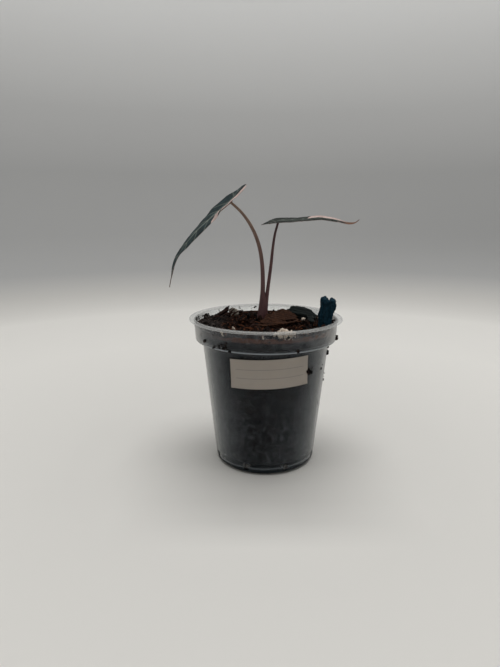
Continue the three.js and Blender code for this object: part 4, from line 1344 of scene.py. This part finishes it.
def blade_points(blade):
    """Grids of the blade's upper and lower skins, with what its materials need to know of each place."""
    line = smooth_line(blade["midrib"], MIDRIB_STEPS)
    lengths = lengths_of(line)
    stalk_at = lengths[MIDRIB_STEPS]
    length = lengths[-1] - stalk_at
    rows = np.concatenate([
        -blade["lobe_length"] * np.linspace(1, 0, LOBE_ROWS, endpoint=False) ** 0.8,
        length * np.linspace(0, 1, BLADE_ROWS),
    ])
    columns = np.sin(np.linspace(0, np.pi / 2, BLADE_COLUMNS))
    forward = unit(np.gradient(line, lengths, axis=0))
    skins = []
    for side in (-1, 1):
        s = np.repeat(rows, len(columns))
        share = np.tile(columns, len(rows))
        edge, sinus = blade_edge(s, blade, length), sinus_edge(s, blade)
        s = np.where(s < 0, s * blade["lobe_shares"][side > 0], s)
        u = side * (sinus + (edge - sinus) * share)
        ahead = unit(looked_up(s + stalk_at, lengths, forward))
        across = unit(np.cross(unit(np.array(blade["upper_side"])), ahead))
        up = np.cross(ahead, across)
        middle = looked_up(s + stalk_at, lengths, line) + across * u[:, None]
        middle = middle + up * blade_lift(s, u, side, blade)[:, None]
        midrib, sides = vein_strength(s, u, blade, length)
        looks = blade["vein_shares"]
        near_edge = np.where(s < 0, np.minimum(1 - share, share) * (edge - sinus), edge - np.abs(u))
        body = smooth(near_edge / 1.2)
        in_tip = smooth((s / length - blade["drip_tip_start"] - 0.02) / 0.08)
        half = 0.05 + 0.14 * body + 0.14 * in_tip * np.sqrt(1 - share**2)
        quilt = 0.14 * body * (1 - np.maximum(midrib, sides))
        top = middle + up * (half + quilt - 0.1 * midrib * body)[:, None]
        under = half - quilt + (0.5 * midrib * np.clip(1 - s / length, 0.2, 1) + 0.16 * sides) * body
        bottom = middle - up * under[:, None]
        bulge = middle + across * (side * 0.05)
        facts = {
            "vein": np.clip(looks[0] * midrib + looks[1] * sides, 0, 1),
            "margin": 1 - smooth(near_edge / 0.45),
            "pink": pink_share(s - VEIN_SLANT * np.abs(u) - VEIN_BEND * u * u, side, share, blade),
            "brown": smooth((s - blade["brown"][0]) / 4) * (1 - smooth((s - blade["brown"][1]) / 2)),
        }
        skins.append((top, bottom, bulge, facts))
    return skins


def pink_share(start_of_vein, side, share, blade):
    """Where the blade is pink: along its margins, between two side veins, as wide as a share of its half."""
    pink = np.zeros_like(share)
    for pink_side, start, end, width, strength in blade["pinks"]:
        if pink_side == side:
            along = smooth((start_of_vein - start) / 3) * (1 - smooth((start_of_vein - end + 3) / 3))
            pink = np.maximum(pink, strength * along * smooth((share - 1 + 1.3 * width) / (0.6 * width)))
    return pink


def make_blade(blade, name, materials, node):
    """Both halves of a blade, each with an upper skin, a lower one and a rounded edge between them."""
    rows = LOBE_ROWS + BLADE_ROWS
    points, faces, looks = [], [], []
    facts = {key: [] for key in ("vein", "margin", "pink", "brown")}
    for side, (top, bottom, bulge, known) in zip((-1, 1), blade_points(blade)):
        start = sum(len(p) for p in points)
        count = len(top)
        points += [top, bottom, bulge]
        for key, values in known.items():
            facts[key].append(np.tile(values, 3))
        upper = grid_faces(rows, BLADE_COLUMNS, start=start, flip=side < 0)
        lower = grid_faces(rows, BLADE_COLUMNS, start=start + count, flip=side > 0)
        faces += upper + lower
        looks += [0] * len(upper) + [1] * len(lower)
        for column, last_row, out in ((BLADE_COLUMNS - 1, rows - 1, 1), (0, LOBE_ROWS, -1)):
            for row in range(last_row):
                a = start + row * BLADE_COLUMNS + column
                b = a + BLADE_COLUMNS
                for low, high in ((0, 2 * count), (2 * count, count)):
                    strip = [a + low, b + low, b + high, a + high]
                    faces.append(strip if side * out < 0 else strip[::-1])
                    looks.append(0)
    obj = new_object(name, np.vstack(points), faces)
    for material in materials:
        obj.data.materials.append(material)
    obj.data.polygons.foreach_set("material_index", looks)
    for key, values in facts.items():
        store(obj, key, np.concatenate(values))
    tidy_mesh(obj, 0.004, fill=True, sharp=60)
    dress(obj, "leaf", node)


def rod_lines(lines):
    """Points and edges of lines, each with its radii and how far up the stalk its end counts."""
    points, edges, radii, along = [], [], [], []
    for line, sizes, end in lines:
        close = smooth_line(line, 12)
        start = len(points)
        points += close.tolist()
        edges += [(start + i, start + i + 1) for i in range(len(close) - 1)]
        radii += np.interp(np.linspace(0, len(sizes) - 1, len(close)), range(len(sizes)), sizes).tolist()
        along += np.linspace(0, end, len(close)).tolist()
    return points, edges, np.array(radii) * MM, along


def make_rods(name, lines, material, slot, *nodes, sides=24):
    """Round rods along the lines, in one piece."""
    points, edges, radii, along = rod_lines(lines)
    obj = new_object(name, points, [], edges=edges)
    store(obj, "radius", radii)
    store(obj, "along", along)
    run_tree(obj, rods_tree(), {"Sides": sides, "Material": material})
    shade_smooth(obj.data, 60)
    dress(obj, slot, *nodes)


def block(corners):
    """The mesh of a solid with flat faces round the given corners."""
    work = bmesh.new()
    for corner in corners:
        work.verts.new(Vector(corner) * MM)
    bmesh.ops.convex_hull(work, input=work.verts)
    mesh = bpy.data.meshes.new("block")
    work.to_mesh(mesh)
    work.free()
    return mesh


def sculpt(name, source, slot, voxel, relief, material):
    """A fine closed piece grown from a node of the packed model, which it stands for, or from corners."""
    packed = isinstance(source, str)
    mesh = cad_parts[source].data.copy() if packed else block(source)
    mesh.name = name
    mesh.materials.clear()
    mesh.materials.append(material)
    obj = linked(name, mesh)
    tidy_mesh(obj, 0.005)
    remesh = obj.modifiers.new("voxels", "REMESH")
    remesh.mode = "VOXEL"
    remesh.voxel_size = voxel * MM
    soften = obj.modifiers.new("soften", "SMOOTH")
    soften.iterations = 2
    bake(obj)
    places = np.array([v.co for v in obj.data.vertices]) / MM
    normals = np.array([v.normal for v in obj.data.vertices])
    moved = places + relief(places, normals)
    obj.data.vertices.foreach_set("co", (moved * MM).ravel())
    obj.data.update()
    obj.data.shade_smooth()
    dress(obj, slot, *([source] if packed else []))


def along_normals(height):
    """A relief that moves each place in or out along its normal."""
    return lambda places, normals: normals * height(places)[:, None]


def bark_relief(grain, depth, layers):
    """Fibrous ridges along the grain and stepped layers across it, a layer every so many millimetres."""
    grain = unit(np.array(grain, float))
    side = unit(np.cross(grain, (0, 0.3, 1)))
    up = np.cross(side, grain)

    def height(places):
        turned_places = places @ np.stack([grain, side, up], axis=1)
        ridges = -np.abs(field(turned_places, (0.18, 1.3, 1.3), 4, 3.1))
        lumps = field(turned_places, (0.12, 0.3, 0.4), 3, 8.7)
        steps = np.sin(2 * np.pi * (turned_places[:, 2] / layers + 0.7 * lumps))
        return depth * (0.6 + 1.6 * ridges) + 0.5 * depth * steps * np.abs(steps) + 0.5 * lumps

    return along_normals(height)


def charcoal_relief(places, normals):
    """Upright grooves, cracks across them, and splinters along the broken top."""
    lean = places - np.outer(places[:, 2] - 75, (0.1, 0, 0))
    grooves = -np.abs(field(lean, (1.5, 1.5, 0.1), 4, 1.7))
    cracks = -0.6 * smooth((field(lean, (0.35, 0.35, 1.1), 2, 6.1) - 0.3) / 0.2)
    lumps = 0.45 * field(lean, (0.35, 0.35, 0.14), 2, 4.4)
    knobs = 0.3 * field(places, (0.9, 0.9, 0.9), 2, 7.3)
    blunt = 0.75 * smooth((places[:, 2] - 81) / 3)
    moved = normals * (0.2 + 0.75 * grooves + 0.35 * cracks + lumps + knobs + blunt)[:, None]
    moved[:, 2] -= 1.0 * smooth((places[:, 2] - 82) / 3)
    broken = smooth((places[:, 2] - 80.2) / 2) * np.clip(normals[:, 2], 0, 1)
    moved[:, 2] += broken * (0.7 * field(places, (1.5, 1.5, 0.05), 3, 2.2))
    return moved


def puffs(size, depth, out):
    """Rounded bumps packed together, which stand out by a share of their depth."""

    def height(places):
        near = np.array([noise.voronoi(Vector(p / size))[0][0] for p in places])
        return depth * (out - near) + 0.4 * depth * field(places, (1.6, 1.6, 1.6), 3, 5.5)

    return along_normals(height)


class PieceOperator:
    """What the operators of all pieces share."""

    bl_options = {"REGISTER", "UNDO"}


class ALOCASIA_OT_pot(PieceOperator, bpy.types.Operator):
    """Turn the clear nursery pot and cut its drain slots"""

    bl_idname = "alocasia.pot"
    bl_label = "Nursery pot"

    def execute(self, context):
        points, faces = turned(pot_profile(), POT_SEGMENTS)
        pot = new_object("pot_clear", points, faces, sharp=180)
        inputs = {
            "Slots": DRAIN_SLOTS,
            "Inner radius": DRAIN_INNER_RADIUS * MM,
            "Low": DRAIN_LOW_Z * MM,
            "High": DRAIN_TOP_Z * MM,
            "Width": DRAIN_WIDTH * MM,
            "Material": clear_plastic(),
        }
        run_tree(pot, drains_tree(), inputs)
        tidy_mesh(pot, 0.002, sharp=50)
        places = np.array([corner.co for corner in pot.data.vertices]) / MM
        depth = wall_radius(places[:, 2]) - np.hypot(places[:, 0], places[:, 1])
        store(pot, "inside", (depth > 0.4) & (places[:, 2] > FLOOR_Z - 0.2))
        dress(pot, "clear_plastic", "pot")
        return {"FINISHED"}


class ALOCASIA_OT_label(PieceOperator, bpy.types.Operator):
    """Lay the blank paper label round the front of the pot"""

    bl_idname = "alocasia.label"
    bl_label = "Paper label"

    def execute(self, context):
        label = context.scene.alocasia_label
        width, height = label.width / MM, label.height / MM
        rows, columns = LABEL_ROWS, LABEL_COLUMNS
        up, across = np.meshgrid(np.linspace(0, height, rows), np.linspace(0, width, columns), indexing="ij")
        across, up = across.ravel(), up.ravel()
        slope = math.atan2(BODY_TOP_RADIUS - BODY_FOOT_RADIUS, LEDGE_Z)
        tilt = math.radians(LABEL_TILT)
        flat_x, flat_y = across - width / 2, up - height / 2
        turned_x = flat_x * math.cos(tilt) - flat_y * math.sin(tilt)
        turned_y = flat_x * math.sin(tilt) + flat_y * math.cos(tilt)
        z = LABEL_Z + turned_y * math.cos(slope)
        turn = math.radians(LABEL_TURN) + turned_x / body_radius(z)
        corner = np.abs(flat_x) / width * 2 * np.abs(flat_y) / height * 2
        wrinkle = 0.035 * np.sin(0.5 * flat_x + 0.7 * flat_y) + 0.03 * np.sin(1.1 * flat_x - 0.4)
        lift = 0.12 + np.abs(wrinkle) + 0.22 * corner**5
        skins = []
        for out in (lift + LABEL_THICKNESS, lift):
            r = body_radius(z) + out
            skins.append(np.stack([r * np.sin(turn), -r * np.cos(turn), z], axis=1))
        count = rows * columns
        faces = grid_faces(rows, columns) + grid_faces(rows, columns, start=count, flip=True)
        rim = [*range(columns), *range(2 * columns - 1, count, columns)]
        rim += [*range(count - 2, count - columns - 1, -1), *range(count - 2 * columns, 0, -columns)]
        for a, b in zip(rim, rim[1:] + rim[:1]):
            faces.append([b, a, a + count, b + count])
        sheet = new_object("label_paper", np.vstack(skins), faces, label_paper(), sharp=50)
        layer = sheet.data.uv_layers.new(name="sheet")
        vertices = np.empty(len(sheet.data.loops), int)
        sheet.data.loops.foreach_get("vertex_index", vertices)
        places = np.stack([across[vertices % count], up[vertices % count]], axis=1)
        layer.data.foreach_set("uv", places.ravel())
        dress(sheet, "paper", "label")
        return {"FINISHED"}


class ALOCASIA_OT_mix(PieceOperator, bpy.types.Operator):
    """Fill the pot with potting mix and scatter crumbs and fibres over its top"""

    bl_idname = "alocasia.mix"
    bl_label = "Potting mix"

    def execute(self, context):
        mix = context.scene.alocasia_mix
        material = potting_mix()
        points, rings, tint, gap = soil_solid()
        low = [0, 0, FLOOR_Z + 0.3]
        high = [0, 0, float(soil_height(0.0, 0.0))]
        faces = grid_faces(rings, MIX_COLUMNS, wrap=True)
        faces += caps(MIX_COLUMNS, 0, (rings - 1) * MIX_COLUMNS, len(points), len(points) + 1)
        body = new_object("mix_body", np.vstack([points, low, high]), faces, material, sharp=180)
        store(body, "tint", np.append(tint, (0.3, 0.3)))
        store(body, "gap", np.append(gap, (0, 0)))
        dress(body, "potting_mix", "soil")
        top_points, top_faces = soil_top()
        tree = scattered_lumps_tree()
        for name, look in CRUMBS.items():
            density, smallest, largest, roughness, slimmest, flatness, brightest, clearance = look
            largest = mix.largest if largest is None else largest * MM
            crumbs = new_object(name, top_points, top_faces)
            store(crumbs, "room", room_for_crumbs(top_points, clearance))
            inputs = {
                "Density": getattr(mix, density) * PER_SQUARE_CENTIMETRE,
                "Seed": mix.seed,
                "Smallest": smallest * MM,
                "Largest": largest,
                "Roughness": roughness,
                "Slimmest": slimmest,
                "Flatness": flatness,
                "Most tint": brightest,
                "Dent scale": 0.9 / largest,
                "Material": material,
            }
            run_tree(crumbs, tree, inputs)
            dress(crumbs, "potting_mix")
        fibres = new_object("mix_fibres", top_points, top_faces)
        store(fibres, "room", room_for_crumbs(top_points, FIBRE_CLEARANCE))
        inputs = {"Density": mix.fibres * PER_SQUARE_CENTIMETRE, "Seed": mix.seed + 1, "Material": material}
        run_tree(fibres, fibres_tree(), inputs)
        dress(fibres, "potting_mix")
        return {"FINISHED"}


class ALOCASIA_OT_dirt(PieceOperator, bpy.types.Operator):
    """Stick crumbs of mix to the pot's wall"""

    bl_idname = "alocasia.dirt"
    bl_label = "Dirt on the pot"

    def execute(self, context):
        random = np.random.default_rng(DIRT_SEED)
        inner = -context.scene.alocasia_pot.wall / MM - INSIDE_GAP
        specks = [
            (random.uniform(-180, 180), random.uniform(*SPECK_HEIGHTS), *SPECK_GROUP)
            for _ in range(SPECKS_INSIDE)
        ]
        # The grains in the drain slots get a pale skin that is painted light
        slot_painted_light_skin = bark_skin("slot_grains", *SLOT_PAINTED_LIGHT_SKIN)
        tree = placed_lumps_tree()
        for name, slot, material, groups in (
            ("wall_dirt", "potting_mix", potting_mix("wall_dirt"), ((0.1, WALL_DIRT), (inner, specks))),
            ("wall_flecks", "perlite", perlite_skin("pale_flecks"), ((inner, PALE_FLECKS),)),
            ("slot_grains", "potting_mix", slot_painted_light_skin, ((inner, SLOT_GRAINS),)),
        ):
            points, sizes = [], []
            for out, places in groups:
                for degrees, height, spread, count, largest in places:
                    for _ in range(count):
                        z = height + spread * random.normal() / SPREAD_DEVIATIONS
                        size = largest * (LEAST_DIRT + (1 - LEAST_DIRT) * random.random() ** 1.5)
                        r = float(wall_radius(z)) + out + math.copysign(DIRT_OUT * size, out)
                        turn = math.radians(degrees) + spread * random.normal() / SPREAD_DEVIATIONS / r
                        points.append((r * math.sin(turn), -r * math.cos(turn), z))
                        sizes.append(size * MM)
            dirt = new_object(name, points, [])
            store(dirt, "size", sizes)
            run_tree(dirt, tree, {"Material": material, **DIRT_LOOK})
            dress(dirt, slot)
        return {"FINISHED"}


class ALOCASIA_OT_bark(PieceOperator, bpy.types.Operator):
    """Sculpt the pieces of bark and charcoal that lie in the mix"""

    bl_idname = "alocasia.bark"
    bl_label = "Bark and charcoal"

    def execute(self, context):
        chips = context.scene.alocasia_chips
        brown = bark_skin("brown_bark", chips.bark, BROWN_BARK_WORN, BROWN_BARK_GRAIN)
        sculpt("bark_layers", "bark_chunk", "bark", 0.26, bark_relief(BROWN_BARK_GRAIN, 0.4, 1.1), brown)
        sculpt("bark_flap", BARK_FLAP, "bark", 0.26, bark_relief(BROWN_BARK_GRAIN, 0.4, 0.9), brown)
        black = bark_skin("black_bark", *BLACK_BARK, roughness=0.7)
        sculpt("bark_dark", "dark_bark", "dark_bark", 0.24, bark_relief(BLACK_BARK[2], 0.16, 1.7), black)
        splinter = bark_skin("splinter", *SPLINTER)
        relief = bark_relief(SPLINTER[2], 0.2, 0.8)
        sculpt("bark_splinter", "bark_sliver", "dark_bark", 0.18, relief, splinter)
        lines = [(line, SHRED_RADII, 1.0) for line in BARK_SHREDS]
        make_rods("bark_shreds", lines, splinter, "dark_bark", sides=8)
        sculpt("charcoal_stick", "charcoal", "charcoal", 0.2, charcoal_relief, charcoal_skin())
        return {"FINISHED"}


class ALOCASIA_OT_perlite(PieceOperator, bpy.types.Operator):
    """Sculpt the pale grains, the pale chip and the cluster behind the front rim"""

    bl_idname = "alocasia.perlite"
    bl_label = "Perlite"

    def execute(self, context):
        skin = perlite_skin()
        for node, (voxel, *bumps) in PERLITE_GRAINS.items():
            sculpt(node + "_grain", node, "perlite", voxel, puffs(*bumps), skin)
        pale = bark_skin("pale_chip", *PALE_CHIP, dark=PALE_CHIP_CRACKS)
        sculpt("chip_pale", "pale_chip", "perlite", 0.14, bark_relief(PALE_CHIP[2], 0.5, 0.7), pale)
        return {"FINISHED"}


class ALOCASIA_OT_plant(PieceOperator, bpy.types.Operator):
    """Grow the stalks, the blades and the corm"""

    bl_idname = "alocasia.plant"
    bl_label = "Plant"

    def execute(self, context):
        plant = context.scene.alocasia_plant
        left_skin = stalk_skin("stalk_left", plant.stalk, plant.stalk_top)
        lines = [(LEFT_STALK, LEFT_STALK_RADII, 1.0), (SHEATH, SHEATH_RADII, 0.1)]
        make_rods("stalk_left", lines, left_skin, "stalk", "petiole_left")
        right_skin = stalk_skin("stalk_right", plant.stalk, shaded(plant.stalk, 0.5))
        lines = [(RIGHT_STALK, RIGHT_STALK_RADII, 1.0)]
        make_rods("stalk_right", lines, right_skin, "stalk", "petiole_right")
        skins = (leaf_upper(), leaf_underside())
        make_blade(LEFT_BLADE, "leaf_left", skins, "blade_left")
        make_blade(RIGHT_BLADE, "leaf_right", skins, "blade_right")
        sculpt("corm_roots", "rootstock", "corm", 0.35, puffs(1.6, 0.35, 0.55), corm_skin())
        return {"FINISHED"}


class ALOCASIA_OT_stage(PieceOperator, bpy.types.Operator):
    """Set the pale floor with its round sweep, the soft light and the camera"""

    bl_idname = "alocasia.stage"
    bl_label = "Studio"

    def execute(self, context):
        stage = context.scene.alocasia_stage
        sweep = [(r, 0) for r in (0, *FLOOR_RINGS, SWEEP_RADIUS)]
        sweep += arc((SWEEP_RADIUS, SWEEP_RADIUS), SWEEP_RADIUS, -90, 0, SWEEP_STEPS)[1:]
        sweep += [(2 * SWEEP_RADIUS, height) for height in WALL_HEIGHTS]
        count = BACKDROP_SEGMENTS
        turns = np.linspace(0, 2 * np.pi, count, endpoint=False)
        rings = np.array([[(r * np.cos(t), r * np.sin(t), z) for t in turns] for r, z in sweep[1:]])
        points = np.vstack([[0, 0, 0], rings.reshape(-1, 3)])
        faces = grid_faces(len(sweep) - 1, count, wrap=True, start=1, flip=True)
        faces += [[0, 1 + j, 1 + (j + 1) % count] for j in range(count)]
        new_object("backdrop", points, faces, backdrop_paint(), sharp=180)
        lamp = bpy.data.lights.new("overhead", "AREA")
        lamp.energy = stage.power
        lamp.shape = "RECTANGLE"
        lamp.size, lamp.size_y = Vector(LAMP_SIZE) * MM
        linked("overhead", lamp).location = Vector(LAMP_PLACE) * MM
        world = bpy.data.worlds.new("studio")
        world.use_nodes = True
        world.node_tree.nodes["Background"].inputs["Color"].default_value = (1, 1, 1, 1)
        world.node_tree.nodes["Background"].inputs["Strength"].default_value = stage.sky
        context.scene.world = world
        context.scene.view_settings.view_transform = "Standard"
        view = bpy.data.cameras.new("camera")
        view.lens = CAMERA_LENS
        view.sensor_width = 36
        view.clip_start = 0.01
        camera = linked("camera", view)
        camera.location = Vector(CAMERA_PLACE) * MM
        camera.rotation_euler = (math.radians(90 - CAMERA_DIP), 0, 0)
        context.scene.camera = camera
        return {"FINISHED"}


def backdrop_paint():
    """Matt paper, pale on the floor and greyer up the wall, with painted light and shade."""
    stage = bpy.context.scene.alocasia_stage
    graph, place = new_material("backdrop")
    across, forward, height = (graph.axis(place, number) for number in range(3))
    reach = graph.math("DIVIDE", graph.plus(graph.from_axis(place), height), BACKDROP_REACH * MM)
    stops = [(at, shaded(getattr(stage, tone), share)) for at, tone, share in BACKDROP_TONES_WITH_PAINTED_LIGHT]
    base = graph.ramp(reach, *stops)
    # Painted shade on the wall's right, and a painted shadow on the floor in front of the pot
    wall_painted_shade = graph.times(graph.span(across, 0, 460 * MM), graph.span(reach, 0.4, 0.52))
    wall_painted_shade = graph.times(wall_painted_shade, graph.span(reach, 0.58, 0.82, 1, 0))
    floor_painted_shadow = graph.times(graph.span(forward, -20 * MM, -48 * MM), graph.span(forward, -80 * MM, -63 * MM))
    floor_painted_shadow = graph.times(floor_painted_shadow, graph.span(graph.math("ABSOLUTE", across), 12 * MM, 66 * MM, 0.17, 0))
    for dim in (graph.times(wall_painted_shade, 0.15), floor_painted_shadow):
        base = graph.mix(dim, base, (0, 0, 0))
    return show(graph, principled(graph, base, 0.8, Specular_IOR_Level=0.2))


class ALOCASIA_PT_plant(bpy.types.Panel):
    """Lists the pieces and their settings"""

    bl_label = "Potted alocasia"
    bl_idname = "ALOCASIA_PT_plant"
    bl_space_type = "VIEW_3D"
    bl_region_type = "UI"
    bl_category = "Plant"

    def draw(self, context):
        for operator in OPERATORS:
            self.layout.operator(operator.bl_idname)
        for name, group in SETTINGS.items():
            box = self.layout.box()
            box.label(text=group.__doc__)
            for setting in group.__annotations__:
                box.prop(getattr(context.scene, name), setting)


OPERATORS = (
    ALOCASIA_OT_pot,
    ALOCASIA_OT_label,
    ALOCASIA_OT_mix,
    ALOCASIA_OT_dirt,
    ALOCASIA_OT_bark,
    ALOCASIA_OT_perlite,
    ALOCASIA_OT_plant,
    ALOCASIA_OT_stage,
)


def register():
    for group in SETTINGS.values():
        bpy.utils.register_class(group)
    for kind in (*OPERATORS, ALOCASIA_PT_plant):
        bpy.utils.register_class(kind)
    for name, group in SETTINGS.items():
        setattr(bpy.types.Scene, name, PointerProperty(type=group))


def unregister():
    for name in SETTINGS:
        delattr(bpy.types.Scene, name)
    for kind in (ALOCASIA_PT_plant, *reversed(OPERATORS), *SETTINGS.values()):
        bpy.utils.unregister_class(kind)


def main():
    register()
    bpy.ops.alocasia.pot()
    bpy.ops.alocasia.label()
    bpy.ops.alocasia.mix()
    bpy.ops.alocasia.dirt()
    bpy.ops.alocasia.bark()
    bpy.ops.alocasia.perlite()
    bpy.ops.alocasia.plant()
    bpy.ops.alocasia.stage()


if __name__ == "__main__":
    main()
